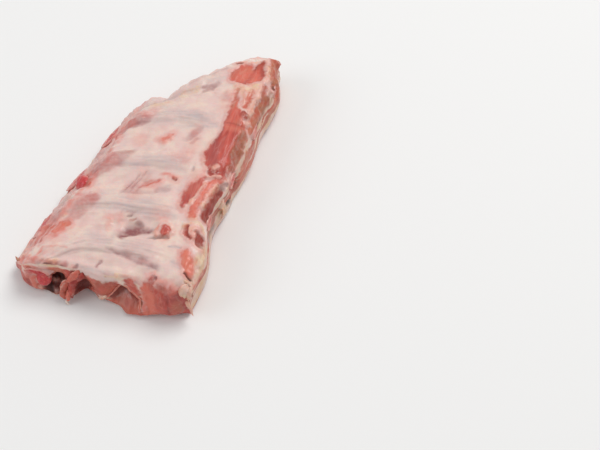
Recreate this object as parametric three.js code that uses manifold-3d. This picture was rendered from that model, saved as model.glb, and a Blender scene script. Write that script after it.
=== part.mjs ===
// A short rack of raw pork back ribs, lying bone side up, in millimetres.
// x runs across the rack from the thin sawn edge on the left to the thick loin edge on the right,
// y runs along it from the front cut to the tapered end, and z is up from the surface it lies on.
// The lean, fat and membrane are one solid, and each rib bone is a solid of its own that runs
// through it and shows at both ends.

import * as THREE from "three";
import { mergeVertices } from "three/addons/utils/BufferGeometryUtils.js";
import Module from "manifold-3d";

// Corners of the slab seen from above, and how far each is pulled in to round it.
const FRONT_LEFT = [-61, 9];
const FRONT_RIGHT = [50, 3];
const BACK_RIGHT = [54, 191];
const BACK_LEFT = [-30, 145];
const CORNER_PULL = 2;
const CORNER_REACH = 7;
const LEFT_BOW = 1;
const FRONT_BOW = { at: 0.17, half: 0.13, out: 6 };
const RIGHT_WAIST = { at: 0.31, half: 0.1, out: -4.5 };
const RIGHT_BULGE = { at: 0.87, half: 0.1, out: 3 };

// The back edge runs level from the left, then steps up past the fourth rib and bends over.
const BACK_STEP = 0.26;
const BACK_CURVE = 2;

// Height of the bone side across the rack, at five even places from left to right.
const CROWN = [22, 27, 29.5, 31, 31.5];
const FRONT_DROP = 1.5;
const BACK_DROP = 3;

// How far the top falls at each edge, over what width, and how suddenly.
const ROLL = {
  left: { drop: 12, width: 16, power: 1.4 },
  right: { drop: 7, width: 9, power: 2.4 },
  front: { drop: 2.5, width: 4, power: 2.2 },
  back: { drop: 6, width: 11, power: 2.2 },
};
const LOBE_ROLL = { from: 12, over: 12, drop: 7, width: 12 };
const UNDERSIDE_ROLL = { rise: 2.2, width: 6, power: 2 };
const UNDERSIDE_HOLLOW = 2.5;

// Middle lines of the rib bones seen from above, from the sawn left end to the loin edge.
const RIBS = [
  [[-42, 1.5], [-31, 13], [-17, 21.5], [26, 23], [49, 20]],
  [[-51.5, 35], [-36, 45.5], [-22, 51], [24, 54], [46.5, 56]],
  [[-44, 72.3], [-31, 79.5], [-19, 84.5], [21, 88], [51, 89]],
  [[-35.3, 110], [-23, 117.5], [-11, 122], [30, 126], [54, 129]],
  [[3.5, 149], [12, 154], [31, 162], [56.5, 167]],
];
const RIB_HALF_WIDTH = 6;
const RIB_HALF_THICKNESS = 3.8;
const RIB_COVER = 1.6;
const RIB_RIDGE = 2.6;
const RIB_RIDGE_HALF = 8;
const RIDGE_FADE = { from: 12, over: 24 };

// How far the bones sink at their two ends, and over what length.
const LEFT_SINK = 5;
const RIGHT_SINK = 4;
const SINK_REACH = 20;

// The sawn left ends lie along the faces that they come out of: how far a point of the end
// moves along the bone for each millimetre up and sideways. The last rib ends inside.
const LEFT_ENDS = [
  { up: 0, side: -0.9, open: true },
  { up: 1.4, side: 1, open: true },
  { up: 1.4, side: 1, open: true },
  { up: 1.4, side: 1, open: true },
  { up: 0, side: 0, open: false },
];
const SLANT_STEPS = 3;
const CLEARANCE = 0.3;
const RUN_OUT = 14;

// Forms that stand up from the bone side or sink into it:
// centre, half length and half width, turn in degrees from x, and rise.
const FORMS = [
  { name: "loin strip", at: [44, 125], half: [30, 9], turn: 86, rise: 2.4 },
  { name: "far window", at: [33, 177], half: [10, 7], turn: 12, rise: -1.8 },
  { name: "red oval", at: [34, 82], half: [12, 4.5], turn: 58, rise: 1.8 },
  { name: "dark tongue", at: [46, 69], half: [10, 5], turn: 70, rise: 1.6 },
  { name: "knuckle pair", at: [44, 44], half: [8, 6], turn: -40, rise: 2.6 },
  { name: "round knob", at: [22, 42], half: [5, 5], turn: 0, rise: 2.8 },
  { name: "low tongue", at: [44, 26], half: [9, 4.5], turn: 100, rise: 1.4 },
  { name: "dark hollow", at: [4, 38], half: [12, 4.5], turn: 12, rise: -2.4 },
  { name: "creased hollow", at: [-3, 70], half: [14, 6], turn: 32, rise: -1.8 },
  { name: "front trough", at: [-6, 11], half: [26, 3.5], turn: 0, rise: -1.2 },
];

// Lobes and notches of the cut sides: place along the side in mm, half width,
// level from 0 at the top edge to 1 at the bottom, half level, and how far out.
const SIDE_FORMS = {
  front: [
    { at: 34, half: 12, level: 0.6, tall: 0.5, out: 5.5 },
    { at: 17, half: 6, level: 0.35, tall: 0.35, out: 2.5 },
    { at: -3, half: 9, level: 0.4, tall: 0.35, out: 3 },
    { at: 9, half: 5, level: 0.9, tall: 0.4, out: -6.5 },
    { at: -13, half: 5.5, level: 0.9, tall: 0.4, out: -7 },
    { at: -21, half: 5, level: 0.8, tall: 0.5, out: 8.5 },
    { at: -30, half: 4.5, level: 0.8, tall: 0.35, out: -6 },
    { at: -44, half: 9, level: 0.9, tall: 0.4, out: 3 },
  ],
  right: [
    { at: 160, half: 20, level: 0.6, tall: 0.5, out: 3 },
    { at: 118, half: 16, level: 0.6, tall: 0.5, out: 2.5 },
    { at: 90, half: 6, level: 0.5, tall: 0.5, out: -3 },
    { at: 55, half: 14, level: 0.5, tall: 0.5, out: -1.5 },
    { at: 28, half: 10, level: 0.6, tall: 0.5, out: 2 },
  ],
  back: [
    { at: 30, half: 14, level: 0.5, tall: 0.5, out: 2 },
    { at: -18, half: 8, level: 0.5, tall: 0.5, out: 1.5 },
  ],
  left: [
    { at: 56, half: 9, level: 0.6, tall: 0.6, out: 1.5 },
    { at: 74, half: 6, level: 0.5, tall: 0.6, out: -1 },
    { at: 94, half: 9, level: 0.6, tall: 0.6, out: 1.5 },
  ],
};

// Faces across, along and down the sides of the slab, and round and along a bone.
const ACROSS = 30;
const ALONG = 44;
const DOWN = 5;
const BONE_SIDES = 12;
const BONE_STEPS = 14;
const EDGE_CROWDING = 0.6;
const SPREAD_POWER = 6;

const LEAN = { color: 0xd9b0a8, roughness: 0.42, metalness: 0 };
const BONE = { color: 0xc9877d, roughness: 0.5, metalness: 0 };

const bell = (distance, half) => Math.exp(-((distance / half) ** 2));
const mix = (a, b, t) => a + (b - a) * t;
const mixPoint = (p, q, t) => [mix(p[0], q[0], t), mix(p[1], q[1], t)];
const smooth = (t) => {
  const c = Math.min(1, Math.max(0, t));
  return c * c * (3 - 2 * c);
};

// How far a bulge of an edge stands out at a place along it.
const stand = (bulge, place) => bulge.out * bell(place - bulge.at, bulge.half);

// Even steps from 0 to 1, closer together near both ends.
const crowded = (t) =>
  t - (EDGE_CROWDING * Math.sin(2 * Math.PI * t)) / (2 * Math.PI);

// The four edges of the outline, each from 0 to 1.
const frontEdge = (u) => {
  const [x, y] = mixPoint(FRONT_LEFT, FRONT_RIGHT, u);
  const wave = 1.2 * Math.sin(9 * u + 0.6) * Math.sin(Math.PI * u);
  return [x, y + wave - stand(FRONT_BOW, u)];
};
const leftEdge = (v) => {
  const [x, y] = mixPoint(FRONT_LEFT, BACK_LEFT, v);
  return [x + LEFT_BOW * Math.sin(Math.PI * v), y];
};
const rightEdge = (v) => {
  const [x, y] = mixPoint(FRONT_RIGHT, BACK_RIGHT, v);
  const clearOfEnds = smooth(v * 10) * smooth((1 - v) * 10);
  return [x + clearOfEnds * (stand(RIGHT_BULGE, v) + stand(RIGHT_WAIST, v)), y];
};
const backEdge = (u) => {
  const late = Math.min(1, Math.max(0, (u - BACK_STEP) / (1 - BACK_STEP)));
  return [
    mix(BACK_LEFT[0], BACK_RIGHT[0], u),
    mix(BACK_LEFT[1], BACK_RIGHT[1], 1 - (1 - late) ** BACK_CURVE),
  ];
};

// The outline filled in: a point inside it for any u across and v along.
function plan(u, v) {
  const f = frontEdge(u);
  const b = backEdge(u);
  const l = leftEdge(v);
  const r = rightEdge(v);
  const corners = mixPoint(
    mixPoint(FRONT_LEFT, FRONT_RIGHT, u),
    mixPoint(BACK_LEFT, BACK_RIGHT, u),
    v,
  );
  const point = [0, 1].map(
    (k) => mix(f[k], b[k], v) + mix(l[k], r[k], u) - corners[k],
  );
  return rounded(point);
}

// Every point near a corner moves inwards, most at the corner itself.
function rounded([x, y]) {
  const middle = mixPoint(
    mixPoint(FRONT_LEFT, BACK_RIGHT, 0.5),
    mixPoint(FRONT_RIGHT, BACK_LEFT, 0.5),
    0.5,
  );
  let [dx, dy] = [0, 0];
  for (const corner of [FRONT_LEFT, FRONT_RIGHT, BACK_RIGHT, BACK_LEFT]) {
    const inwards = [middle[0] - corner[0], middle[1] - corner[1]];
    const pull =
      (CORNER_PULL * bell(Math.hypot(x - corner[0], y - corner[1]), CORNER_REACH)) /
      Math.hypot(...inwards);
    dx += inwards[0] * pull;
    dy += inwards[1] * pull;
  }
  return [x + dx, y + dy];
}

// A rib's middle line seen from above, as a smooth curve through its points.
const ribCurves = RIBS.map(
  (points) =>
    new THREE.CatmullRomCurve3(
      points.map(([x, y]) => new THREE.Vector3(x, y, 0)),
      false,
      "centripetal",
    ),
);
const ribLines = ribCurves.map((curve) => curve.getSpacedPoints(BONE_STEPS));

// How far a point is from a rib's middle line.
function distanceToRib(line, x, y) {
  let nearest = Infinity;
  for (let k = 1; k < line.length; k++) {
    const [a, b] = [line[k - 1], line[k]];
    const [ex, ey] = [b.x - a.x, b.y - a.y];
    const along = ((x - a.x) * ex + (y - a.y) * ey) / (ex * ex + ey * ey);
    const t = Math.min(1, Math.max(0, along));
    nearest = Math.min(nearest, Math.hypot(x - a.x - t * ex, y - a.y - t * ey));
  }
  return nearest;
}

// The ridge that the bones raise, fading out under the lean on the right.
function ridges(x, y) {
  let height = -0.4;
  for (const line of ribLines)
    height += bell(distanceToRib(line, x, y), RIB_RIDGE_HALF);
  return RIB_RIDGE * height * (1 - smooth((x - RIDGE_FADE.from) / RIDGE_FADE.over));
}

function forms(x, y) {
  let height = 0;
  for (const form of FORMS) {
    const turn = THREE.MathUtils.degToRad(form.turn);
    const dx = x - form.at[0];
    const dy = y - form.at[1];
    const along = dx * Math.cos(turn) + dy * Math.sin(turn);
    const across = dy * Math.cos(turn) - dx * Math.sin(turn);
    height += form.rise * bell(along, form.half[0]) * bell(across, form.half[1]);
  }
  return height;
}

// 0 away from the edge, 1 on it.
const roll = (distance, width, power) => Math.max(0, 1 - distance / width) ** power;

function crown(u, v) {
  const place = u * (CROWN.length - 1);
  const left = Math.min(CROWN.length - 2, Math.floor(place));
  const height = mix(CROWN[left], CROWN[left + 1], smooth(place - left));
  return height - FRONT_DROP * bell(v, 0.12) - BACK_DROP * bell(1 - v, 0.2);
}

function edgeDistances(u, v) {
  const width = rightEdge(v)[0] - leftEdge(v)[0];
  const length = backEdge(u)[1] - frontEdge(u)[1];
  return {
    left: u * width,
    right: (1 - u) * width,
    front: v * length,
    back: (1 - v) * length,
  };
}

// What is left of the crown's height after it falls towards every edge near the point.
function topHeight(u, v, x, y) {
  const far = edgeDistances(u, v);
  const height = crown(u, v);
  const lobe = smooth((x - LOBE_ROLL.from) / LOBE_ROLL.over);
  let share = 1;
  for (const side of Object.keys(ROLL)) {
    const { drop, width, power } = ROLL[side];
    share *= 1 - (drop * roll(far[side], width, power)) / height;
  }
  share *= 1 - (lobe * LOBE_ROLL.drop * roll(far.front, LOBE_ROLL.width, 2)) / height;
  return (height + ridges(x, y) + forms(x, y)) * share;
}

function bottomHeight(u, v) {
  const far = edgeDistances(u, v);
  let flat = 1;
  for (const side of Object.keys(ROLL))
    flat *= 1 - roll(far[side], UNDERSIDE_ROLL.width, UNDERSIDE_ROLL.power);
  const inside = Math.sin(Math.PI * u) * Math.sin(Math.PI * v);
  return UNDERSIDE_ROLL.rise * (1 - flat) + UNDERSIDE_HOLLOW * inside ** 2;
}

// The loop round the slab: for each step, the side it is on, u, v and the outward direction.
function edgeLoop() {
  const loop = [];
  const us = Array.from({ length: ACROSS + 1 }, (_, i) => crowded(i / ACROSS));
  const vs = Array.from({ length: ALONG + 1 }, (_, j) => crowded(j / ALONG));
  for (let i = 0; i < ACROSS; i++) loop.push({ side: "front", i, j: 0 });
  for (let j = 0; j < ALONG; j++) loop.push({ side: "right", i: ACROSS, j });
  for (let i = ACROSS; i > 0; i--) loop.push({ side: "back", i, j: ALONG });
  for (let j = ALONG; j > 0; j--) loop.push({ side: "left", i: 0, j });
  for (const step of loop) {
    step.u = us[step.i];
    step.v = vs[step.j];
    step.point = plan(step.u, step.v);
  }
  loop.forEach((step, k) => {
    const before = loop[(k + loop.length - 1) % loop.length].point;
    const after = loop[(k + 1) % loop.length].point;
    const dx = after[0] - before[0];
    const dy = after[1] - before[1];
    const size = Math.hypot(dx, dy);
    step.out = [dy / size, -dx / size];
  });
  return { loop, us, vs };
}

// How far the side stands out at a step of the loop and a level down the side.
function sideRelief(step, level) {
  const runsAcross = step.side === "front" || step.side === "back";
  const place = step.point[runsAcross ? 0 : 1];
  const run = runsAcross ? step.u : step.v;
  let out = 0;
  for (const form of SIDE_FORMS[step.side])
    out += form.out * bell(place - form.at, form.half) * bell(level - form.level, form.tall);
  return out * smooth(run * 8) * smooth((1 - run) * 8);
}

// The slab as one closed surface: a top grid, rows down the sides and a bottom grid.
function slabGeometry() {
  const { loop, us, vs } = edgeLoop();
  const positions = [];
  const faces = [];
  // A grid of points at one level, moved inside by what moves the edges near them.
  const grid = (level, height) => {
    const shift = new Map();
    for (const step of loop) {
      const out = sideRelief(step, level);
      shift.set(step.i + "," + step.j, [step.out[0] * out, step.out[1] * out]);
    }
    const first = positions.length / 3;
    for (let j = 0; j <= ALONG; j++)
      for (let i = 0; i <= ACROSS; i++) {
        const [u, v] = [us[i], vs[j]];
        const [x, y] = plan(u, v).map(
          (c, k) =>
            c +
            (1 - v) ** SPREAD_POWER * shift.get(i + ",0")[k] +
            v ** SPREAD_POWER * shift.get(i + "," + ALONG)[k] +
            (1 - u) ** SPREAD_POWER * shift.get("0," + j)[k] +
            u ** SPREAD_POWER * shift.get(ACROSS + "," + j)[k],
        );
        positions.push(x, y, height(u, v, x, y));
      }
    return (i, j) => first + j * (ACROSS + 1) + i;
  };
  const top = grid(0, topHeight);
  const bottom = grid(1, bottomHeight);
  const quad = (a, b, c, d) => faces.push(a, b, c, a, c, d);
  for (let j = 0; j < ALONG; j++)
    for (let i = 0; i < ACROSS; i++) {
      quad(top(i, j), top(i + 1, j), top(i + 1, j + 1), top(i, j + 1));
      quad(bottom(i, j), bottom(i, j + 1), bottom(i + 1, j + 1), bottom(i + 1, j));
    }
  const rows = [loop.map((step) => top(step.i, step.j))];
  for (let row = 1; row < DOWN; row++) {
    const level = row / DOWN;
    rows.push(
      loop.map((step) => {
        const upper = positions[3 * top(step.i, step.j) + 2];
        const lower = positions[3 * bottom(step.i, step.j) + 2];
        const out = sideRelief(step, level);
        const [x, y] = step.point;
        positions.push(x + step.out[0] * out, y + step.out[1] * out, mix(upper, lower, level));
        return positions.length / 3 - 1;
      }),
    );
  }
  rows.push(loop.map((step) => bottom(step.i, step.j)));
  for (let row = 0; row < DOWN; row++)
    loop.forEach((_, k) => {
      const next = (k + 1) % loop.length;
      quad(rows[row][k], rows[row + 1][k], rows[row + 1][next], rows[row][next]);
    });
  return closedGeometry(positions, faces);
}

function closedGeometry(positions, faces) {
  const geometry = new THREE.BufferGeometry();
  geometry.setAttribute("position", new THREE.Float32BufferAttribute(positions, 3));
  geometry.setIndex(faces);
  return geometry;
}

// Where u and v are for a point seen from above, found by stepping towards it.
function inverseOutline(x, y) {
  const small = 1e-4;
  let u = 0.5;
  let v = 0.5;
  for (let step = 0; step < 30; step++) {
    const [px, py] = plan(u, v);
    const [qx, qy] = plan(u + small, v);
    const [rx, ry] = plan(u, v + small);
    const [ux, uy] = [(qx - px) / small, (qy - py) / small];
    const [vx, vy] = [(rx - px) / small, (ry - py) / small];
    const det = ux * vy - uy * vx;
    u += ((x - px) * vy - (y - py) * vx) / det;
    v += (ux * (y - py) - uy * (x - px)) / det;
    u = Math.min(1, Math.max(0, u));
    v = Math.min(1, Math.max(0, v));
  }
  return [u, v];
}

// The middle line of a bone in space: under the skin of the ridge, and lower at both ends.
function bonePath(index) {
  const length = ribCurves[index].getLength();
  return ribLines[index].map(({ x, y }, k) => {
    const [u, v] = inverseOutline(x, y);
    const along = (length * k) / BONE_STEPS;
    const skin = crown(u, v) + ridges(x, y);
    const sink =
      LEFT_SINK * bell(along, SINK_REACH) + RIGHT_SINK * bell(length - along, SINK_REACH);
    return new THREE.Vector3(x, y, skin - RIB_COVER - RIB_HALF_THICKNESS - sink);
  });
}

// The same line with a straight run-out past each end, for the cut that holds the bone.
function runThrough(path, leftRun) {
  const last = path.length - 1;
  const beyond = (end, inner, far) => end.clone().add(end.clone().sub(inner).setLength(far));
  return [
    beyond(path[0], path[1], leftRun),
    ...path,
    beyond(path[last], path[last - 1], RUN_OUT),
  ];
}

const ovalAngles = Array.from({ length: BONE_SIDES }, (_, n) => (2 * Math.PI * n) / BONE_SIDES);

// Rings of points round an oval that is carried along a path.
function ovalRings(path, halfWidth, halfThickness) {
  const up = new THREE.Vector3(0, 0, 1);
  const last = path.length - 1;
  return path.map((point, k) => {
    const along = path[Math.min(last, k + 1)].clone().sub(path[Math.max(0, k - 1)]).normalize();
    const side = up.clone().cross(along).normalize();
    const over = along.clone().cross(side);
    return ovalAngles.map((angle) =>
      point
        .clone()
        .addScaledVector(side, halfWidth * Math.cos(angle))
        .addScaledVector(over, halfThickness * Math.sin(angle)),
    );
  });
}

// The rings of a bone without its run-outs. The points of the left end slide along the tube's
// own lines to lie on a slanted cut, and those of the next rings follow them less and less.
function sawnRings(rings, slant, step) {
  return rings.slice(1, -1).map((_, k) =>
    ovalAngles.map((angle, n) => {
      const slide =
        slant.up * RIB_HALF_THICKNESS * Math.sin(angle) +
        slant.side * RIB_HALF_WIDTH * Math.cos(angle);
      const share = Math.max(0, 1 - k / SLANT_STEPS);
      const place = k + 1 + (share * slide) / (k === 0 && slide < 0 ? RUN_OUT : step);
      const before = Math.min(rings.length - 2, Math.floor(place));
      return rings[before][n].clone().lerp(rings[before + 1][n], place - before);
    }),
  );
}

// A tube through rings of points, closed by a fan over each end.
function closedTube(rings) {
  const positions = rings.flat().flatMap((p) => p.toArray());
  const faces = [];
  const last = rings.length - 1;
  const next = (n) => (n + 1) % BONE_SIDES;
  for (let k = 0; k < last; k++)
    for (let n = 0; n < BONE_SIDES; n++) {
      const a = k * BONE_SIDES;
      const b = a + BONE_SIDES;
      faces.push(a + n, a + next(n), b + next(n), a + n, b + next(n), b + n);
    }
  for (const row of [0, last]) {
    const centre = positions.length / 3;
    const middle = new THREE.Vector3();
    for (const p of rings[row]) middle.addScaledVector(p, 1 / BONE_SIDES);
    positions.push(...middle.toArray());
    for (let n = 0; n < BONE_SIDES; n++) {
      const pair = [row * BONE_SIDES + n, row * BONE_SIDES + next(n)];
      if (row === 0) pair.reverse();
      faces.push(centre, pair[0], pair[1]);
    }
  }
  return closedGeometry(positions, faces);
}

function solidOf(wasm, geometry) {
  const merged = mergeVertices(geometry, 1e-4);
  return new wasm.Manifold(
    new wasm.Mesh({
      numProp: 3,
      vertProperties: merged.attributes.position.array,
      triVerts: new Uint32Array(merged.index.array),
    }),
  );
}

// The biggest piece of a solid, without the scraps that a cut can leave.
const largest = (solid) =>
  solid.decompose().reduce((a, b) => (a.volume() > b.volume() ? a : b));

// The rings of one rib's tube with its run-outs, swollen by a margin.
function ribRings(index, margin) {
  const leftRun = LEFT_ENDS[index].open ? RUN_OUT : CLEARANCE;
  return ovalRings(
    runThrough(bonePath(index), leftRun),
    RIB_HALF_WIDTH + margin,
    RIB_HALF_THICKNESS + margin,
  );
}

// The slab with a channel through it for each bone.
function meatMesh(wasm) {
  let solid = solidOf(wasm, slabGeometry());
  RIBS.forEach((_, index) => {
    const rings = ribRings(index, CLEARANCE);
    solid = solid.subtract(solidOf(wasm, closedTube(rings)));
  });
  const cut = largest(solid).getMesh();
  const geometry = closedGeometry(Array.from(cut.vertProperties), Array.from(cut.triVerts));
  const mesh = new THREE.Mesh(geometry, new THREE.MeshStandardMaterial(LEAN));
  mesh.name = "meat";
  return mesh;
}

function boneMesh(index) {
  const step = ribCurves[index].getLength() / BONE_STEPS;
  const rings = sawnRings(ribRings(index, 0), LEFT_ENDS[index], step);
  const geometry = closedTube(rings);
  const mesh = new THREE.Mesh(geometry, new THREE.MeshStandardMaterial(BONE));
  mesh.name = "rib_bone_" + (index + 1);
  return mesh;
}

// The rack stands on z = 0 with the middle of its footprint at the origin.
function centred(group) {
  const box = new THREE.Box3().setFromObject(group);
  const middle = box.getCenter(new THREE.Vector3());
  group.position.set(-middle.x, -middle.y, -box.min.z);
  return group;
}

const wasm = await Module();
wasm.setup();

const rack = new THREE.Group();
rack.add(meatMesh(wasm));
RIBS.forEach((_, index) => rack.add(boneMesh(index)));

export default centred(rack);
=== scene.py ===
"""A short rack of raw pork back ribs, lying bone side up.

Shapes are worked out in millimetres in the rack's own plan, as its solids are: x runs across
from the thin sawn edge to the thick loin edge, y along from the front cut to the tapered end,
and z up. A mesh is moved to the frame, in metres, when it is made.
"""

import math
from collections import namedtuple

import bpy
import numpy as np
from mathutils import Matrix, Vector


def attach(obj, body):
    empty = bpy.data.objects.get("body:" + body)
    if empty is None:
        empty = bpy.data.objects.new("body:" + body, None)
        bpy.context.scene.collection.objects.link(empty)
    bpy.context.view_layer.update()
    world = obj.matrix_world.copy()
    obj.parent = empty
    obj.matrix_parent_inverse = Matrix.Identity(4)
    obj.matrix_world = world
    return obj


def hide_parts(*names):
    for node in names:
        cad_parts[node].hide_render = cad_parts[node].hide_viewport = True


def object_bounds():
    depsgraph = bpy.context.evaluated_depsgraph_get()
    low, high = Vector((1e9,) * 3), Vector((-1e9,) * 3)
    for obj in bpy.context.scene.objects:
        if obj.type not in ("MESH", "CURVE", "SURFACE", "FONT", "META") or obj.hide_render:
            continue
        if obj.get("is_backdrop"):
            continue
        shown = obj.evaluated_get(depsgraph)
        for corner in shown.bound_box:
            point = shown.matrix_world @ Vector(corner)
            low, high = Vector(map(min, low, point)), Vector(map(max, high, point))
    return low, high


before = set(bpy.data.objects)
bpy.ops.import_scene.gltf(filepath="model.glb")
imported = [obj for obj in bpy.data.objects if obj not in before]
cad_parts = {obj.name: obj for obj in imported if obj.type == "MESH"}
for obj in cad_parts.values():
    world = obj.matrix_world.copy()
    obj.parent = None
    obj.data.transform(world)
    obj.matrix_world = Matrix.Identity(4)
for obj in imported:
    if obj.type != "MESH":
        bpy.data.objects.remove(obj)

bl_info = {
    "name": "Raw pork ribs",
    "version": (1, 0, 0),
    "blender": (4, 5, 0),
    "location": "3D View > Sidebar > Pork ribs",
    "description": "A rack of raw pork back ribs with its membrane, fat, lean and sawn bones",
    "category": "Mesh",
}

MM = 0.001
CAD_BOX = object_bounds()

# The plan's point that stands at the frame's origin.
PLAN_MIDDLE = (-0.277, 94.485)

# The slab's outline and heights, as the solids have them.
FRONT_LEFT = (-61, 9)
FRONT_RIGHT = (50, 3)
BACK_RIGHT = (54, 191)
BACK_LEFT = (-30, 145)
CORNERS = (FRONT_LEFT, FRONT_RIGHT, BACK_RIGHT, BACK_LEFT)
CORNER_PULL = 2
CORNER_REACH = 7
CORNER_CLEAR = 10
LEFT_BOW = 1
Bulge = namedtuple("Bulge", "at half out")
FRONT_BOW = Bulge(0.17, 0.13, 6)
FRONT_WAVE = 1.2
WAVE_TURN = 9
WAVE_START = 0.6
RIGHT_WAIST = Bulge(0.31, 0.1, -4.5)
RIGHT_BULGE = Bulge(0.87, 0.1, 3)
BACK_STEP = 0.26
BACK_CURVE = 2
CROWN = np.array((22, 27, 29.5, 31, 31.5))
FRONT_DROP = 1.5
FRONT_DROP_REACH = 0.12
BACK_DROP = 3
BACK_DROP_REACH = 0.2
Roll = namedtuple("Roll", "drop width power")
ROLLS = {
    "left": Roll(12, 16, 1.4),
    "right": Roll(7, 9, 2.4),
    "front": Roll(2.5, 4, 2.2),
    "back": Roll(6, 11, 2.2),
}
LOBE_FROM = 12
LOBE_OVER = 12
LOBE_ROLL = Roll(7, 12, 2)
UNDERSIDE_ROLL = Roll(2.2, 6, 2)
UNDERSIDE_HOLLOW = 2.5
SPREAD_POWER = 6

# Middle lines of the rib bones seen from above.
RIBS = (
    ((-42, 1.5), (-31, 13), (-17, 21.5), (26, 23), (49, 20)),
    ((-51.5, 35), (-36, 45.5), (-22, 51), (24, 54), (46.5, 56)),
    ((-44, 72.3), (-31, 79.5), (-19, 84.5), (21, 88), (51, 89)),
    ((-35.3, 110), (-23, 117.5), (-11, 122), (30, 126), (54, 129)),
    ((3.5, 149), (12, 154), (31, 162), (56.5, 167)),
)
RIB_PITCH = 36
RIB_HALF_WIDTH = 6
RIB_HALF_THICKNESS = 3.8
RIB_COVER = 1.6
RIB_RIDGE = 2.6
RIB_RIDGE_HALF = 8
RIDGE_BASE = 0.4
FADE_FROM = 12
FADE_OVER = 24
LEFT_SINK = 5
RIGHT_SINK = 4
SINK_REACH = 20
# A bone's left end is cut on a slant: it slides along the bone by these shares of each point's
# height and sideways place.
SLANTS = ((0, -0.9), (1.4, 1), (1.4, 1), (1.4, 1), (0, 0))
SLANT_REACH = 18

# Forms that stand up from the bone side or sink into it: centre, half sizes, turn, rise.
Form = namedtuple("Form", "at half turn rise")
FORMS = (
    Form((44, 125), (30, 9), 86, 2.4),
    Form((33, 177), (10, 7), 12, -1.8),
    Form((34, 82), (12, 4.5), 58, 1.8),
    Form((46, 69), (10, 5), 70, 1.6),
    Form((44, 44), (8, 6), -40, 2.6),
    Form((22, 42), (5, 5), 0, 2.8),
    Form((44, 26), (9, 4.5), 100, 1.4),
    Form((4, 38), (12, 4.5), 12, -2.4),
    Form((-3, 70), (14, 6), 32, -1.8),
    Form((-6, 11), (26, 3.5), 0, -1.2),
)

# Lobes and notches of the cut sides: place along the side, half width, level, half level, out.
SideForm = namedtuple("SideForm", "at half level tall out")
SIDE_NAMES = ("front", "right", "back", "left")
SIDE_FORMS = {
    "front": (
        SideForm(34, 12, 0.6, 0.5, 5.5),
        SideForm(17, 6, 0.35, 0.35, 2.5),
        SideForm(-3, 9, 0.4, 0.35, 3),
        SideForm(9, 5, 0.9, 0.4, -6.5),
        SideForm(-13, 5.5, 0.9, 0.4, -7),
        SideForm(-21, 5, 0.8, 0.5, 8.5),
        SideForm(-30, 4.5, 0.8, 0.35, -6),
        SideForm(-44, 9, 0.9, 0.4, 3),
    ),
    "right": (
        SideForm(160, 20, 0.6, 0.5, 3),
        SideForm(118, 16, 0.6, 0.5, 2.5),
        SideForm(90, 6, 0.5, 0.5, -3),
        SideForm(55, 14, 0.5, 0.5, -1.5),
        SideForm(28, 10, 0.6, 0.5, 2),
    ),
    "back": (SideForm(30, 14, 0.5, 0.5, 2), SideForm(-18, 8, 0.5, 0.5, 1.5)),
    "left": (
        SideForm(56, 9, 0.6, 0.6, 1.5),
        SideForm(74, 6, 0.5, 0.6, -1),
        SideForm(94, 9, 0.6, 0.6, 1.5),
    ),
}

# Lobes of the looks alone: sheets of meat that hang out over the front cut.
SHEET_FORMS = {
    "front": (
        SideForm(-5, 7, 0.8, 0.3, 4.5),
        SideForm(21.5, 4.5, 0.9, 0.3, 5),
        SideForm(27, 5, 0.95, 0.25, 3),
        SideForm(11, 8, 1, 0.22, 13.5),
        SideForm(-31, 5.5, 1, 0.2, 10),
        SideForm(-13, 4, 1, 0.25, 5),
        SideForm(-52, 7, 0.7, 0.4, 3.4),
    ),
}

# Steps of the fine slab; the underside has half as many each way.
ACROSS = 180
ALONG = 288
DOWN = 24
EDGE_CROWDING = 0.35
# The sides' forms fade in over one part in this many of a side, at both its ends.
SIDE_FADE = 8
# Steps in each stretch of a smooth curve, before it is spaced evenly.
CURVE_STEPS = 50
# Steps at each end of a rib's line that give its slope where it is carried on past its end.
END_STEPS = 5


def bell(distance, half):
    """A smooth hill: 1 at no distance, falling as e to the minus square of distance over half."""
    return np.exp(-((distance / half) ** 2))


def mix(a, b, share):
    """The value a share of the way from a to b."""
    return a + (b - a) * share


def smooth(t):
    """Eased step: 0 below 0, 1 above 1, and 3t squared less 2t cubed between."""
    c = np.clip(t, 0, 1)
    return c * c * (3 - 2 * c)


def stand(bulge, place):
    """How far a bulge stands out at a place: its most times a bell of the distance to it."""
    return bulge.out * bell(place - bulge.at, bulge.half)


def crowded(t):
    """Even steps from 0 to 1, drawn towards both ends by a sine."""
    return t - EDGE_CROWDING * np.sin(2 * np.pi * t) / (2 * np.pi)


def between(p, q, t):
    """The point a share t of the way from p to q."""
    return mix(p[0], q[0], t), mix(p[1], q[1], t)


def front_edge(u):
    """A straight line with a sine wave, pushed out by a bell near its left end."""
    x, y = between(FRONT_LEFT, FRONT_RIGHT, u)
    wave = FRONT_WAVE * np.sin(WAVE_TURN * u + WAVE_START) * np.sin(np.pi * u)
    return x, y + wave - stand(FRONT_BOW, u)


def left_edge(v):
    """A straight line with half a sine."""
    x, y = between(FRONT_LEFT, BACK_LEFT, v)
    return x + LEFT_BOW * np.sin(np.pi * v), y


def right_edge(v):
    """A straight line with a waist and a bulge, both bells, kept clear of its ends."""
    x, y = between(FRONT_RIGHT, BACK_RIGHT, v)
    clear = smooth(v * CORNER_CLEAR) * smooth((1 - v) * CORNER_CLEAR)
    return x + clear * (stand(RIGHT_BULGE, v) + stand(RIGHT_WAIST, v)), y


def back_edge(u):
    """Level up to the step, then rising as one less the square of what is left."""
    late = np.clip((u - BACK_STEP) / (1 - BACK_STEP), 0, 1)
    return (
        mix(BACK_LEFT[0], BACK_RIGHT[0], u),
        mix(BACK_LEFT[1], BACK_RIGHT[1], 1 - (1 - late) ** BACK_CURVE),
    )


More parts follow.
